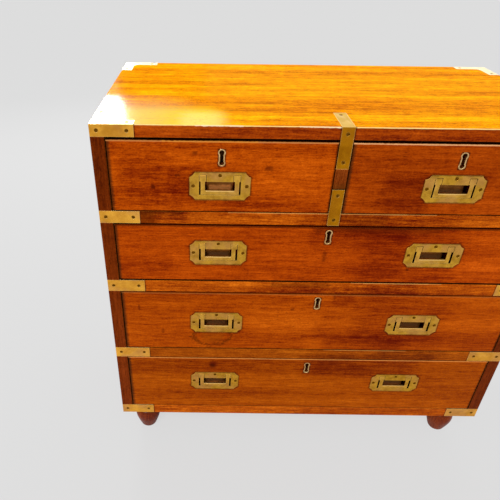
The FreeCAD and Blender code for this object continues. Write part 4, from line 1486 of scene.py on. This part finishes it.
        piece = new_piece(self.name + "_grip_bar", bm, self.finishes.grip)
        map_across(piece)
        # the arms' sides take the slit brass, painted shade
        paint(
            piece,
            self.finishes.slit,
            lambda face: abs(face.normal.x) > SIDEWAYS and face.center.z < ear_foot,
        )
        soften(piece, self.grip_bevel, self.grip_steps)
        return self.put(piece, self.grip_node)

    def round_edges(
        self, bm: BMesh, height: float, size: float, steps: int, test: Callable[[BMEdge], bool]
    ) -> None:
        """Round the edges that lie level at a height, along the grip, and pass a test.

        Args:
            bm: the grip's mesh.
            height: height of the edges.
            size: how far the rounding reaches.
            steps: how many strips it has.
            test: says whether an edge is rounded.
        """
        edges = []
        for edge in bm.edges:
            start, end = (vertex.co for vertex in edge.verts)
            level = abs(start.z - height) < TOUCH and abs(end.z - height) < TOUCH
            if level and abs(start.y - end.y) < TOUCH and test(edge):
                edges.append(edge)
        bmesh.ops.bevel(
            bm, geom=edges, offset=size, segments=steps, profile=ROUND, affect="EDGES", material=-1
        )

    def put(self, piece: Piece, node: str) -> Piece:
        """Move a piece made at zero to the handle's place, and let it stand for its node."""
        piece.data.transform(Matrix.Translation(self.place) @ Matrix.Rotation(self.face.value, 4, "Z"))
        return fit(piece, node)

    def build(self) -> None:
        """Build the plate with its pan, and the grip."""
        self.plate()
        self.grip()


# Keyhole threads


@dataclass
class KeyholeThread:
    """Thin brass lining of a keyhole: two lobes joined by a waist, rounded at the face."""

    node: str
    material: Material
    hole_height: float = 27 * MM
    top_radius: float = 4.3 * MM
    foot_radius: float = 4.0 * MM
    waist: float = 5.8 * MM
    width: float = 2.5 * MM
    depth: float = 4 * MM
    steps: int = 18
    bevel: float = 0.7 * MM
    bevel_steps: int = 3

    def outline(self, bm: BMesh, grow: float) -> list[BMEdge]:
        """Draw one closed line round the keyhole with a spun arc for each lobe.

        Args:
            bm: mesh to draw in.
            grow: distance of the line outside the hole.

        Returns:
            The edges of the line.
        """
        before = set(bm.edges)
        half = self.waist / 2 + grow
        ends = []
        lobes = (
            (self.hole_height / 2 - self.top_radius, self.top_radius + grow, 1),
            (self.foot_radius - self.hole_height / 2, self.foot_radius + grow, -1),
        )
        for centre, radius, way in lobes:
            first = bm.verts.new((way * half, 0, centre - way * math.sqrt(radius**2 - half**2)))
            angle = 2 * math.asin(half / radius) - 2 * math.pi
            spun = spin(bm, [first], (0, 0, centre), (0, 1, 0), angle, self.steps)
            last = next(item for item in spun if isinstance(item, BMVert))
            ends += [first, last]
        for start, end in ((ends[1], ends[2]), (ends[3], ends[0])):
            bm.edges.new((start, end))
        return [edge for edge in bm.edges if edge not in before]

    def build(self) -> Piece:
        """Model the thread at its node's place.

        Returns:
            The piece.
        """
        bm = bmesh.new()
        inner = self.outline(bm, 0.0)
        outer = self.outline(bm, self.width)
        bmesh.ops.bridge_loops(bm, edges=inner + outer)
        pull(bm, bm.faces[:], (0, self.depth, 0))
        low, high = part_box(self.node)
        place = ((low.x + high.x) / 2, low.y, (low.z + high.z) / 2)
        bmesh.ops.translate(bm, verts=bm.verts, vec=place)
        piece = new_piece(self.node + "_rim", bm, self.material)
        soften(piece, self.bevel, self.bevel_steps)
        return fit(piece, self.node)


# Straps and feet


@dataclass
class Binding:
    """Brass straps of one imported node, with the rubbed edges of filed sheet."""

    node: str
    material: Material
    bevel: float = 0.35 * MM
    flat_angle: float = math.radians(0.5)

    def build(self) -> Piece:
        """Copy the node's shape, clean its flat faces and round its edges.

        Returns:
            The piece.
        """
        bm = bmesh.new()
        bm.from_mesh(frame["nodes"][self.node].data)
        bmesh.ops.remove_doubles(bm, verts=bm.verts, dist=TOUCH)
        bmesh.ops.dissolve_limit(bm, angle_limit=self.flat_angle, verts=bm.verts, edges=bm.edges)
        piece = new_piece(self.node + "_filed", bm, self.material)
        soften(piece, self.bevel)
        return fit(piece, self.node)


@dataclass
class TurnedFoot:
    """One turned foot: a bulb on a small flat tip, a cove, a ring and a cap under the case."""

    name: str
    place: Vector
    material: Material
    profile: tuple[Span, ...] = (
        (0, 0), (17, 0), (19.3, 1.2), (23.5, 14), (29.5, 32), (31.6, 45), (29.4, 55), (26.2, 59.2),
        (25, 60.2), (23, 61.6), (22.1, 63.5), (23, 65.6), (25.5, 66.8), (28.5, 67.2), (31.8, 67.8),
        (33.8, 71.5), (31.8, 75.2), (28.5, 75.8), (25.6, 76.4), (25.3, 79), (25.6, 81.6), (30, 82),
        (37.2, 82.1), (37.9, 83), (37.9, 95), (37.3, 95.9), (13, 96), (12, 96.1), (12, 117.5),
        (11.5, 118), (0, 118),
    )
    steps: int = 40

    def build(self) -> Piece:
        """Spin the profile, in millimetres, about the upright axis and smooth it.

        Returns:
            The piece.
        """
        bm = bmesh.new()
        points = [bm.verts.new((radius * MM, 0, height * MM)) for radius, height in self.profile]
        edges = [bm.edges.new(pair) for pair in zip(points, points[1:])]
        spin(bm, points + edges, (0, 0, 0), (0, 0, 1), 2 * math.pi, self.steps, closed=True)
        bmesh.ops.remove_doubles(bm, verts=bm.verts, dist=TOUCH)
        bmesh.ops.translate(bm, verts=bm.verts, vec=self.place)
        piece = new_piece(self.name, bm, self.material)
        smooth = piece.modifiers.new("smooth", "SUBSURF")
        smooth.levels = 1
        smooth.render_levels = 1
        return fit(piece, "feet")


# Drawers


@dataclass(frozen=True)
class Mark:
    """A knot, stain or cloud on a front, in millimetres across and up from the part's origin.

    Without a colour it shifts the wood's own tone.
    """

    x: float
    z: float
    half: Span
    reach: float
    strength: float = 0.6
    colour: Optional[Colour] = RED_MARK
    hollow: float = 0.0
    uneven: float = 0.7
    tone_uneven: float = 0.15

    def shade(self, depth: float) -> Shade:
        """Turn the mark into a shade.

        Args:
            depth: place of the front's face along Y.

        Returns:
            The shade.
        """
        wide, tall = self.half
        uneven = self.uneven if self.colour else self.tone_uneven
        place, half = (self.x * MM, depth, self.z * MM), (wide * MM, WIDE, tall * MM)
        return Shade(place, half, self.reach * MM, self.strength, self.colour, uneven, hollow=self.hollow)


@dataclass
class Drawer:
    """One drawer: its dressed woodwork and lock, its handles, screws and keyhole thread."""

    name: str
    stain: Stain
    offset: Triple
    finishes: Finishes
    marks: tuple[Mark, ...] = ()
    contrast: float = 0.86
    curl: float = 0.08
    # painted shade in the gaps below the front, above it and behind its edges
    foot_gap: float = 0.3
    foot_strength: float = 0.85
    lip: float = 0.0
    lip_height: float = 0.0
    gap_colour: Colour = GAP_COLOUR
    # painted highlight along the top arris
    lit_strength: float = 0.8
    arris: Colour = ARRIS_HIGHLIGHT
    slit: float = 3.8 * MM
    pan: Optional[Material] = None
    lines: tuple[Shade, ...] = ()
    gap_reach: float = 1.6 * MM
    front_rim: float = 1.5 * MM
    edge_depth: float = 8 * MM
    arris_drop: float = 1.7
    board: float = 13 * MM

    @property
    def plates(self) -> str:
        """Name of the node with the drawer's handle plates."""
        names = (f"{self.name}_handle_plate", f"{self.name}_handle_plates")
        return next(name for name in names if name in frame["nodes"])

    def handle_places(self) -> list[tuple[str, Vector]]:
        """Find the drawer's handles.

        Returns:
            Name of each, and its centre on the face of its plate.
        """
        low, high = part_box(self.plates)
        half = FlushHandle.width / 2
        left = Vector((low.x + half, low.y, (low.z + high.z) / 2))
        right = Vector((high.x - half, low.y, left.z))
        if high.x - low.x < 2 * FlushHandle.width:
            return [(self.name, left)]
        return [(f"{self.name}_left", left), (f"{self.name}_right", right)]

    def keyhole_shade(self) -> Shade:
        """Darken the wood round the keyhole's thread.

        Returns:
            The shade.
        """
        low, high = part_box(f"{self.name}_keyhole_thread")
        half = (high - low) / 2
        inside = (half.x - MM, WIDE, half.z - MM)
        return Shade(tuple((low + high) / 2), inside, reach=3 * MM, strength=0.8)

    def front_shades(self) -> list[Shade]:
        """Gather the painted gap shade and arris highlight, darker bands and marks on the drawer's front.

        Returns:
            The shades, in the order in which they are laid.
        """
        low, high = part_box(f"{self.name}_drawer_front")
        x, y, z = (low + high) / 2
        foot, lip = self.foot_gap * MM, self.lip_height * MM
        shades = [mark.shade(low.y) for mark in self.marks]
        shades += [
            # a darker band by the left edge, then painted shade beside the side gaps, below the front and
            # at its top
            Shade((low.x, y, z), (1.8 * MM, WIDE, WIDE), reach=6.5 * MM, strength=0.8, colour=LEFT_BAND_COLOUR),
            Shade((low.x, y, z), (0.4 * MM, WIDE, WIDE), self.gap_reach, strength=0.85, colour=GAP_COLOUR),
            Shade(
                (high.x, y, z), (0.5 * MM, WIDE, WIDE), reach=4 * MM, strength=0.75, colour=SIDE_GAP_SHADE
            ),
            Shade((x, y, low.z), (WIDE, WIDE, foot), self.gap_reach, self.foot_strength, GAP_COLOUR),
            Shade((x, low.y, high.z), (WIDE, MM, lip), self.gap_reach, self.lip, LIP_SHADE, uneven=0.3),
            self.keyhole_shade(),
        ]
        # painted shade on the faces behind the top and foot of the front, inside the gaps
        for edge in (low.z, high.z):
            behind = (x, low.y + self.front_rim + self.edge_depth, edge)
            half = (WIDE, self.edge_depth, 0.3 * MM)
            gap = Shade(behind, half, reach=0.6 * MM, strength=0.9, colour=self.gap_colour, uneven=0.0)
            shades.append(gap)
        # painted highlight along the top arris
        shades.append(arris_highlight(low, high, self.lit_strength, self.arris, self.arris_drop * lip))
        shades += self.lines
        # darker wood round each handle plate
        for _, place in self.handle_places():
            half = (FlushHandle.width / 2, WIDE, FlushHandle.height / 2)
            plate_surround = Shade(tuple(place), half, reach=4.5 * MM, strength=0.62, chamfer=FlushHandle.notch)
            shades.append(plate_surround)
        return shades

    def dress_wood(self) -> None:
        """Dress the front and the box."""
        low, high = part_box(f"{self.name}_drawer_box")
        front = Timber(
            f"{self.name}_front_mahogany", self.stain, Grain.LEVEL, self.offset, self.contrast, self.curl,
            shades=tuple(self.front_shades()), lit_strength=0.3,
        )
        lining = Timber(
            f"{self.name}_lining_oak", Stain(170, 124, 74, 0.7, 1.15), Grain.LEVEL, self.offset,
            roughness=0.6, rim_strength=0.15, lit_strength=0.1,
            deep_sides=((low.x + high.x) / 2, (high.x - low.x) / 2 - self.board),
        )
        dress(f"{self.name}_drawer_front", front.make())
        dress(f"{self.name}_drawer_box", lining.make())

    def build(self) -> None:
        """Dress the wood and the lock, and build every fitting."""
        self.dress_wood()
        dress(f"{self.name}_lock_case", self.finishes.steel)
        dress(f"{self.name}_lock_bolt", self.finishes.screw)
        pan = self.pan or self.finishes.pan
        for handle, place in self.handle_places():
            grip = f"{handle}_grip"
            FlushHandle(handle, self.plates, grip, place, self.finishes, pan, slit=self.slit).build()
        ScrewSet(f"{self.name}_screws", self.finishes).build()
        KeyholeThread(f"{self.name}_keyhole_thread", self.finishes.thread).build()


# Case


@dataclass
class Case:
    """The case: its dressed boards, brass bindings, carrying handles and feet."""

    finishes: Finishes
    rail_stain: Stain = Stain(168, 72, 6)
    top_stain: Stain = Stain(160, 62, 5)
    daylight: Stain = Stain(246, 150, 0, 0.8)
    end_stain: Stain = Stain(108, 40, 5, 1.1, 1.5)
    divider_stain: Stain = Stain(112, 45, 8, 1.3)
    bare_stain: Stain = Stain(168, 122, 72, 0.7, 1.15)
    back_stain: Stain = Stain(140, 98, 56, 0.6, 1.15)

    def inner_shades(self) -> list[Shade]:
        """Paint shade on the faces just behind the front, inside the gaps round the drawers.

        Returns:
            One shade over the whole width and height.
        """
        low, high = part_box("back_boards")
        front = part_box("front_rails")[0].y
        left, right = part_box("left_end")[1].x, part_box("right_end")[0].x
        near, far, past = 1.6 * MM, 14.4 * MM, 0.2 * MM
        middle = ((left + right) / 2, front + (near + far) / 2, (low.z + high.z) / 2)
        half = ((right - left) / 2 + past, (far - near) / 2, (high.z - low.z) / 2 + past)
        return [Shade(middle, half, reach=0.9 * MM, strength=0.93, colour=GAP_COLOUR, uneven=0.2)]

    def strap_ends(self) -> list[Shade]:
        """Darken the joints where the wood of the front meets the ends of the straps.

        Returns:
            A shade for each joint.
        """
        shades = []
        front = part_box("front_rails")[0].y
        for strap in islands("corner_straps") + islands("centre_straps"):
            if strap.low.y > front + MM:
                continue
            ends = [strap.low.x, strap.high.x]
            if strap.low.x * strap.high.x >= 0:
                ends = ends[1:] if strap.middle.x < 0 else ends[:1]
            half = (0.6 * MM, 2 * MM, (strap.high.z - strap.low.z) / 2)
            joint = Shade((0, 0, 0), half, reach=2.8 * MM, strength=0.75, colour=JOINT_COLOUR)
            shades += [replace(joint, centre=(x, front, strap.middle.z)) for x in ends]
        return shades

    def rail_shades(self) -> list[Shade]:
        """Gather the painted gap shade below each rail, its painted arris highlight, joints and patches.

        Returns:
            The shades, in the order in which they are laid.
        """
        shades = self.inner_shades() + self.strap_ends()
        # middle, half length, strength of the painted arris highlight, strength of the painted gap shade
        arris_light_and_gap_shade = ((120 * MM, 90 * MM, 0.36, 0.9), (150 * MM, 90 * MM, 0.3, 0.0), (0, 190 * MM, 0.28, 0.0))
        for rail, (middle, half, strength, shadow) in zip(islands("front_rails"), arris_light_and_gap_shade):
            foot = (0, rail.low.y, rail.low.z)
            # painted shade in the gap below the rail
            gap = Shade(foot, (WIDE, WIDE, 0.3 * MM), reach=0.9 * MM, strength=shadow, colour=GAP_COLOUR)
            shades.append(gap)
            # painted highlight along the rail's arris, in two steps
            line = arris_highlight(rail.low, rail.high, strength)
            for share in (1.0, 0.72):
                centre, reach = (middle, *line.centre[1:]), (half * share, *line.half[1:])
                shades.append(replace(line, centre=centre, half=reach))
        dark = srgb(78, 26, 3)
        patches = (
            Mark(-352, 634, (18, 12), 24, 0.75, srgb(84, 22, 2)),
            Mark(-300, 640, (24, 2), 22, -0.3, None),
            Mark(-80, 632, (60, 8), 40, 0.08, None),
            Mark(44, 634, (48, 8), 20, 0.3, dark),
            Mark(90, 632, (120, 8), 40, -0.26, None),
            Mark(-250, 484, (100, 10), 40, 0.2, None),
            Mark(-40, 487, (56, 1), 8, 0.4, dark),
            Mark(-30, 486, (120, 4), 20, 0.04, None),
            Mark(140, 484, (40, 8), 30, -0.16, None),
            Mark(-330, 648, (52, 1), 8, 0.5, srgb(70, 20, 2)),
            Mark(0, 295, (400, 14), 14, 0.4, srgb(92, 44, 2)),
            Mark(-200, 295, (200, 14), 14, -0.06, None),
            Mark(140, 296, (110, 12), 70, -0.34, None),
        )
        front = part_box("front_rails")[0].y
        return shades + [patch.shade(front) for patch in patches]

    def plate_shades(self) -> list[Shade]:
        """Darken the wood round the carrying handles' plates, in both ends.

        Returns:
            One shade through both ends.
        """
        low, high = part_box("carry_handle_plates")
        centre = (0, (low.y + high.y) / 2, (low.z + high.z) / 2)
        half = (WIDE, (high.y - low.y) / 2, (high.z - low.z) / 2)
        return [Shade(centre, half, reach=6 * MM, strength=0.6, chamfer=CARRY_NOTCH, flat=(0, 1, 1))]

    def back_shades(self) -> list[Shade]:
        """Draw the open joints between the back boards, and two knots in each board.

        Returns:
            The shades of all boards.
        """
        shades = []
        joint, knot = (0.5 * MM, WIDE, WIDE), (0.5 * MM, WIDE, 0.5 * MM)
        across, along, next_turn = 0.36, 0.4, 0.4
        for count, board in enumerate(islands("back_boards")):
            edge = (board.high.x, board.high.y, board.middle.z)
            shades.append(Shade(edge, joint, reach=1.8 * MM, strength=0.9, colour=GAP_COLOUR, uneven=0.2))
            width, height = board.high.x - board.low.x, board.high.z - board.low.z
            for turn in (count * GOLDEN_TURN, (count + next_turn) * GOLDEN_TURN):
                x = board.middle.x + across * width * math.cos(turn)
                z = board.middle.z + along * height * math.sin(turn)
                spot = Shade((x, 0, z), knot, 11 * MM, strength=0.85, colour=KNOT_COLOUR, uneven=0.25)
                shades.append(spot)
        return shades

    def top_wood(self) -> Timber:
        """Describe the top board, with painted daylight, glare and glints where light falls on it.

        Returns:
            Its finish.
        """
        low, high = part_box("top_board")
        y, z = low.y, high.z
        thin = (WIDE, 2 * MM, 0.1 * MM)
        # painted shade in the gap under the front edge
        gap = Shade((0, y, low.z), thin, reach=0.6 * MM, strength=0.6, colour=GAP_COLOUR)
        edge, half = (-326 * MM, y, (low.z + z) / 2), (26 * MM, MM, 12 * MM)
        lighter = Shade(edge, half, reach=60 * MM, strength=0.2, colour=None, uneven=0.2)
        # painted glare and light on the upward face, with a painted darker middle
        glare, halo = srgb(255, 216, 44), srgb(255, 234, 140)
        top_light = (
            Shade((-310 * MM, y, z), (70 * MM, 60 * MM, MM), 56 * MM, 0.75, glare, 2.4),
            Shade((-238 * MM, y, z), (20 * MM, 50 * MM, MM), 34 * MM, 0.5, halo, 2.4),
            Shade((-60 * MM, y, z), (36 * MM, 30 * MM, MM), 80 * MM, -0.16, None, 1.0),
        )
        glints = [
            Shade((x * MM, y, z), (half * MM, 0.6 * MM, 0.5 * MM), 1.9 * MM, 0.8, srgb(255, 232, 186), 1.6)
            for x, half in ((-205, 34), (-50, 26), (-238, 12), (-14, 8))
        ]
        # painted highlight on the front arris
        arris = arris_highlight(low, high, 0.95, TOP_HIGHLIGHT)
        return Timber(
            "top_mahogany", self.top_stain, Grain.LEVEL, (6.3, 4.2, 3.1), 1.1, end_grain=-0.3,
            roughness=0.26, coat=0.02, specular=0.0, top=self.daylight, top_light=top_light, lit_rim=TOP_HIGHLIGHT,
            polish=Shade((low.x, y, z), (82 * MM, 70 * MM, WIDE), 120 * MM, 0.9, uneven=1.5),
            shades=(gap, lighter, arris, *glints, *self.inner_shades(), *self.strap_ends()),
        )

    def end_wood(self) -> Timber:
        """Describe the end boards, with painted shade beside the gaps by the drawers.

        Returns:
            Their finish.
        """
        low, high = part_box("top_board")
        half = (0.3 * MM, 1.2 * MM, WIDE)
        # painted shade on the stiles beside the gaps by the drawers
        edges = [
            Shade((x, low.y, (low.z + high.z) / 2), half, reach=1.5 * MM, strength=0.8, colour=GAP_COLOUR)
            for x in (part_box("left_end")[1].x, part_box("right_end")[0].x)
        ]
        return Timber(
            "end_mahogany", self.end_stain, Grain.UPRIGHT, (8.9, 6.4, 5.3), 0.9, lit_strength=0.4,
            shades=(*edges, *self.plate_shades(), *self.inner_shades()),
        )

    def divider_wood(self) -> Timber:
        """Describe the centre divider, dark where it meets the lower strap.

        Returns:
            Its finish.
        """
        foot = tuple(min(islands("centre_straps"), key=lambda strap: strap.low.z).high)
        joint = Shade(foot, (WIDE, WIDE, 1.4 * MM), reach=1.4 * MM, strength=0.9, colour=GAP_COLOUR)
        soot = Shade(foot, (WIDE, WIDE, 4 * MM), reach=13 * MM, strength=0.45, colour=srgb(84, 46, 8))
        return Timber(
            "divider_mahogany", self.divider_stain, Grain.UPRIGHT, (9.7, 7.2, 6.1), rim_strength=0.0,
            shades=(soot, joint, *self.inner_shades()),
        )

    def dress_boards(self) -> None:
        """Dress every wooden node of the case."""
        rails = Timber(
            "rail_mahogany", self.rail_stain, Grain.LEVEL, (7.7, 5.1, 4.4), 1.35, lit_strength=0.2,
            end_grain=-0.36, shades=tuple(self.rail_shades()),
        )
        bare = Timber(
            "lining_oak", self.bare_stain, Grain.DEEP, (3.3, 8.2, 7.7), roughness=0.6, lit_strength=0.1,
            shades=tuple(self.inner_shades()),
        )
        back = Timber(
            "back_pine", self.back_stain, Grain.UPRIGHT, (1.3, 9.2, 8.7), 1.3, roughness=0.65,
            rim_strength=0.1, lit_strength=0.2, shades=tuple(self.back_shades()),
        )
        boards = {
            self.top_wood(): ("top_board",),
            rails: ("bottom_board", "front_rails"),
            self.end_wood(): ("left_end", "right_end"),
            self.divider_wood(): ("centre_divider",),
            bare: ("drawer_runners", "dust_panels", "drawer_stops"),
            back: ("back_boards",),
        }
        for finish, nodes in boards.items():
            material = finish.make()
            for node in nodes:
                dress(node, material)

    def carry_handles(self) -> None:
        """Build a flush carrying handle in each end."""
        low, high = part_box("carry_handle_plates")
        z = (low.z + high.z) / 2
        for side, face, x in (("left", Face.LEFT, low.x), ("right", Face.RIGHT, high.x)):
            FlushHandle(
                f"{side}_carry", "carry_handle_plates", f"{side}_carry_bail", Vector((x, 0, z)),
                self.finishes, self.finishes.pan, face,
                width=150 * MM, height=76 * MM, notch=CARRY_NOTCH, window_width=108 * MM,
                window_height=55 * MM, window_drop=7.5 * MM, tab_width=76 * MM, tab_height=17 * MM,
                pan_depth=14.5 * MM, arm_width=11 * MM, slit=3 * MM, bar_height=10 * MM,
                grip_thickness=6.5 * MM, screw_edge=9 * MM,
            ).build()

    def build(self) -> None:
        """Dress the boards and build the brass and the feet."""
        self.dress_boards()
        Binding("corner_straps", self.finishes.strap).build()
        Binding("centre_straps", self.finishes.centre_strap).build()
        ScrewSet("case_screws", self.finishes).build()
        self.carry_handles()
        for count, foot in enumerate(islands("feet")):
            place = Vector((foot.middle.x, foot.middle.y, foot.low.z))
            TurnedFoot(f"foot_{count + 1}", place, self.finishes.turned).build()


# Studio


@dataclass
class Studio:
    """Pale floor, even room light, a broad soft sun, and a window and a sky behind the chest."""

    paper: Colour = srgb(227, 227, 227)
    seen_floor: Colour = srgb(220, 220, 220)
    room: float = 0.6
    sun: float = 1.7
    sun_size: float = math.radians(16)
    sun_height: float = math.radians(50)
    sun_side: float = math.radians(-24)
    window_place: Triple = (-1.12, 2.25, 1.64)
    window_size: float = 0.6
    window_power: float = 30.0
    sky_place: Triple = (0.75, 2.5, 2.0)
    sky_size: float = 2.2
    sky_power: float = 17.0
    floor_size: float = 30.0
    floor_roughness: float = 0.9
    evenness: float = 0.88

    def floor(self) -> None:
        """Lay a floor that a camera sees as nearly even paper, with the object's shadow on it."""
        bm = bmesh.new()
        bmesh.ops.create_grid(bm, x_segments=1, y_segments=1, size=self.floor_size)
        material, sheet, shader = blank_material("paper_floor")
        output = material.node_tree.nodes["Material Output"]
        surface = {"Base Color": self.paper, "Roughness": self.floor_roughness, "Specular IOR Level": 0.0}
        sheet.fill(shader, surface)
        even = sheet.add("Emission", {"Color": self.seen_floor, "Strength": 1.0}).outputs[0]
        seen = sheet.calc("MULTIPLY", sheet.add("LightPath").outputs["Is Camera Ray"], self.evenness)
        mixed = sheet.add("MixShader", {0: seen, 1: shader.outputs[0], 2: even})
        sheet.fill(output, {"Surface": mixed.outputs[0]})
        new_piece("floor", bm, material)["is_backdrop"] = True

    def world(self) -> None:
        """Fill the room with even light, which a camera sees as paper."""
        world = bpy.data.worlds.new("room")
        bpy.context.scene.world = world
        world.use_nodes = True
        sheet = NodeSheet(world.node_tree)
        background = world.node_tree.nodes["Background"]
        seen = sheet.add("LightPath").outputs["Is Camera Ray"]
        sheet.fill(background, {
            "Color": sheet.blend(seen, (1.0, 1.0, 1.0, 1.0), self.paper),
            "Strength": sheet.remap(seen, 0.0, 1.0, self.room, 1.0),
        })

    def lamp(self, name: str, kind: str, place: Vector, target: Vector, **settings: float) -> None:
        """Add a lamp that isn't seen itself.

        Args:
            name: its name.
            kind: type of light.
            place: where it is.
            target: what it shines at.
            settings: attributes of the light.
        """
        light = bpy.data.lights.new(name, kind)
        for key, value in settings.items():
            setattr(light, key, value)
        lamp = bpy.data.objects.new(name, light)
        lamp.location = place
        lamp.rotation_euler = (target - place).to_track_quat("-Z", "Y").to_euler()
        lamp.visible_camera = False
        bpy.context.scene.collection.objects.link(lamp)

    def build(self) -> None:
        """Set the view transform, lay the floor and light the room."""
        bpy.context.scene.view_settings.view_transform = "Standard"
        self.floor()
        self.world()
        along = Vector((math.sin(self.sun_side), -math.cos(self.sun_side), 0))
        way = along * math.cos(self.sun_height) + Vector((0, 0, math.sin(self.sun_height)))
        self.lamp("sun", "SUN", way, Vector((0, 0, 0)), energy=self.sun, angle=self.sun_size)
        (left, front, _), (_, _, top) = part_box("left_end")[0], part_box("top_board")[1]
        corner, strap = Vector((left, front, top)), Vector((0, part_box("top_board")[0].y, top))
        window, sky = Vector(self.window_place), Vector(self.sky_place)
        self.lamp("window", "AREA", window, corner, energy=self.window_power, size=self.window_size)
        self.lamp("sky", "AREA", sky, strap, energy=self.sky_power, size=self.sky_size)


@dataclass
class ViewCamera:
    """Camera in front of the chest's left half, looking down, with the view's centre shifted."""

    focal_pixels: float = 498.1
    centre_pixels: float = 208.5
    pitch: float = math.radians(33.03)
    roll: float = math.radians(0.77)
    side: float = -225.1 * MM
    ahead: float = 798.8 * MM
    above: float = 274.8 * MM
    nearest: float = 50 * MM

    def build(self, low: Vector, high: Vector) -> None:
        """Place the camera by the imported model's box.

        Args:
            low: lowest corner of the box.
            high: highest corner of the box.
        """
        data = bpy.data.cameras.new("camera")
        data.sensor_width = SENSOR_WIDTH
        data.lens = SENSOR_WIDTH * self.focal_pixels / VIEW_WIDTH
        data.shift_x = (VIEW_WIDTH / 2 - self.centre_pixels) / VIEW_WIDTH
        data.clip_start = self.nearest
        camera = bpy.data.objects.new("camera", data)
        camera.location = (self.side, low.y - self.ahead, high.z + self.above)
        look = Matrix.Rotation(math.pi / 2 - self.pitch, 4, "X") @ Matrix.Rotation(self.roll, 4, "Z")
        camera.rotation_euler = look.to_euler()
        bpy.context.scene.collection.objects.link(camera)
        bpy.context.scene.camera = camera


def drawers(finishes: Finishes) -> list[Drawer]:
    """List the drawers with their woods and marks.

    Args:
        finishes: the shared finishes.

    Returns:
        The drawers from the top down.
    """
    low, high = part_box("left_short_drawer_front")
    # painted highlight along part of the top arris
    bright_arris = Shade(
        (-225 * MM, low.y, high.z - 1.4 * MM), (80 * MM, 0.9 * MM, 0.5 * MM), reach=1.4 * MM,
        strength=0.35, colour=srgb(226, 142, 24), uneven=2.0,
    )
    return [
        Drawer(
            "left_short", Stain(176, 70, 3), (0.3, 0.2, 0.1), finishes, contrast=0.94, curl=0.12,
            foot_gap=1.0, lip=0.9, lip_height=0.8, lit_strength=0.55, arris=srgb(238, 156, 84),
            slit=2.9 * MM, pan=finishes.lit_pan, lines=(bright_arris,),
            marks=(
                Mark(-336, 716, (24, 16), 44, -0.2, None),
                Mark(-266, 706, (10, 6), 34, -0.24, None),
                Mark(-104, 718, (24, 16), 46, 0.04, None),
                Mark(-340, 672, (40, 4), 26, 0.06, None),
                Mark(-110, 662, (80, 6), 26, -0.12, None),
                Mark(-310, 661, (30, 2), 18, -0.1, None),
                Mark(-324.6, 700.2, (1.2, 1.6), 4.5, 0.8),
                Mark(-281, 722, (3, 0.6), 4, 0.6),
                Mark(-250, 764, (2, 0.8), 5, 0.6),
                Mark(-122, 737, (4, 1), 6, 0.6),
            ),
        ),
        Drawer(
            "right_short", Stain(158, 60, 3), (1.7, 0.6, 0.4), finishes, curl=0.1, foot_gap=1.1, lip=0.9,
            lip_height=0.8, lit_strength=0.8, arris=srgb(248, 180, 120), slit=2.9 * MM,
            marks=(Mark(126, 688, (24, 16), 36, -0.35, None), Mark(60, 686, (14, 6), 26, -0.20, None)),
        ),
        Drawer(
            "upper_long", Stain(171, 65, 3), (2.9, 1.3, 0.9), finishes, foot_gap=2.7, foot_strength=1.0,
            lip=0.65, lip_height=1.4, gap_colour=srgb(96, 24, 2), lit_strength=0.0,
            marks=(
                Mark(-2, 556, (0.8, 9), 5, 0.5),
                Mark(58, 606, (75, 5), 36, -0.22, None),
                Mark(160, 550, (60, 50), 60, -0.15, None),
                Mark(96, 528, (40, 8), 30, -0.1, None),
                Mark(90, 618, (110, 1), 14, 0.5, srgb(84, 24, 2)),
                Mark(-352, 526, (40, 6), 40, -0.20, None),
                Mark(-240, 606, (60, 4), 30, 0.07, None),
                Mark(164, 528, (1.4, 1.4), 3.5, 0.8),
            ),
        ),
        Drawer(
            "middle_long", Stain(170, 70, 3), (4.1, 2.2, 1.6), finishes, curl=0.06, foot_gap=1.4,
            foot_strength=1.0, lip=0.5, lip_height=1.0, gap_colour=srgb(110, 34, 4), lit_strength=0.1,
            marks=(
                Mark(-367, 424, (0.6, 6), 3, 0.55),
                Mark(-320, 360, (0.6, 4), 4, 0.5),
                Mark(-216, 352, (9, 3), 34, 0.75, srgb(84, 33, 2), 0.82, 1.1),
                Mark(-214, 346, (12, 8), 18, 0.3, srgb(146, 76, 6)),
                Mark(-230, 452, (180, 4), 22, -0.12, None),
                Mark(180, 410, (60, 40), 70, -0.18, None),
                Mark(52, 452, (10, 4), 20, -0.23, None),
                Mark(-70, 396, (50, 14), 44, 0.12, None),
                Mark(-60, 362, (50, 6), 30, 0.09, None),
                Mark(-50, 424, (2, 0.8), 3.5, 0.6),
                Mark(33, 457, (0.6, 4), 3, 0.5),
                Mark(60, 350, (80, 1), 7, -0.20, None),
                Mark(-120, 322, (90, 6), 20, -0.14, None),
                Mark(110, 322, (70, 8), 30, -0.22, None),
            ),
        ),
        Drawer(
            "lower_long", Stain(160, 69, 2), (5.5, 3.1, 2.3), finishes, lit_strength=0.62,
            arris=srgb(248, 162, 84),
            marks=(
                Mark(-211, 262, (2, 3), 12, 0.85, srgb(92, 20, 2), uneven=0.2),
                Mark(-213, 258, (1, 1), 8, 0.6, srgb(52, 12, 2), uneven=0.2),
                Mark(-262, 270, (0.8, 0.8), 3, 0.6),
                Mark(120, 262, (90, 10), 60, -0.17, None),
            ),
        ),
    ]


def main() -> None:
    """Build the chest, its studio and its camera."""
    logging.basicConfig(level=logging.INFO, format="%(name)s: %(message)s")
    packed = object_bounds()
    ViewCamera().build(*packed)
    finishes = Finishes()
    Case(finishes).build()
    for drawer in drawers(finishes):
        drawer.build()
    Studio().build()


if __name__ == "__main__":
    main()
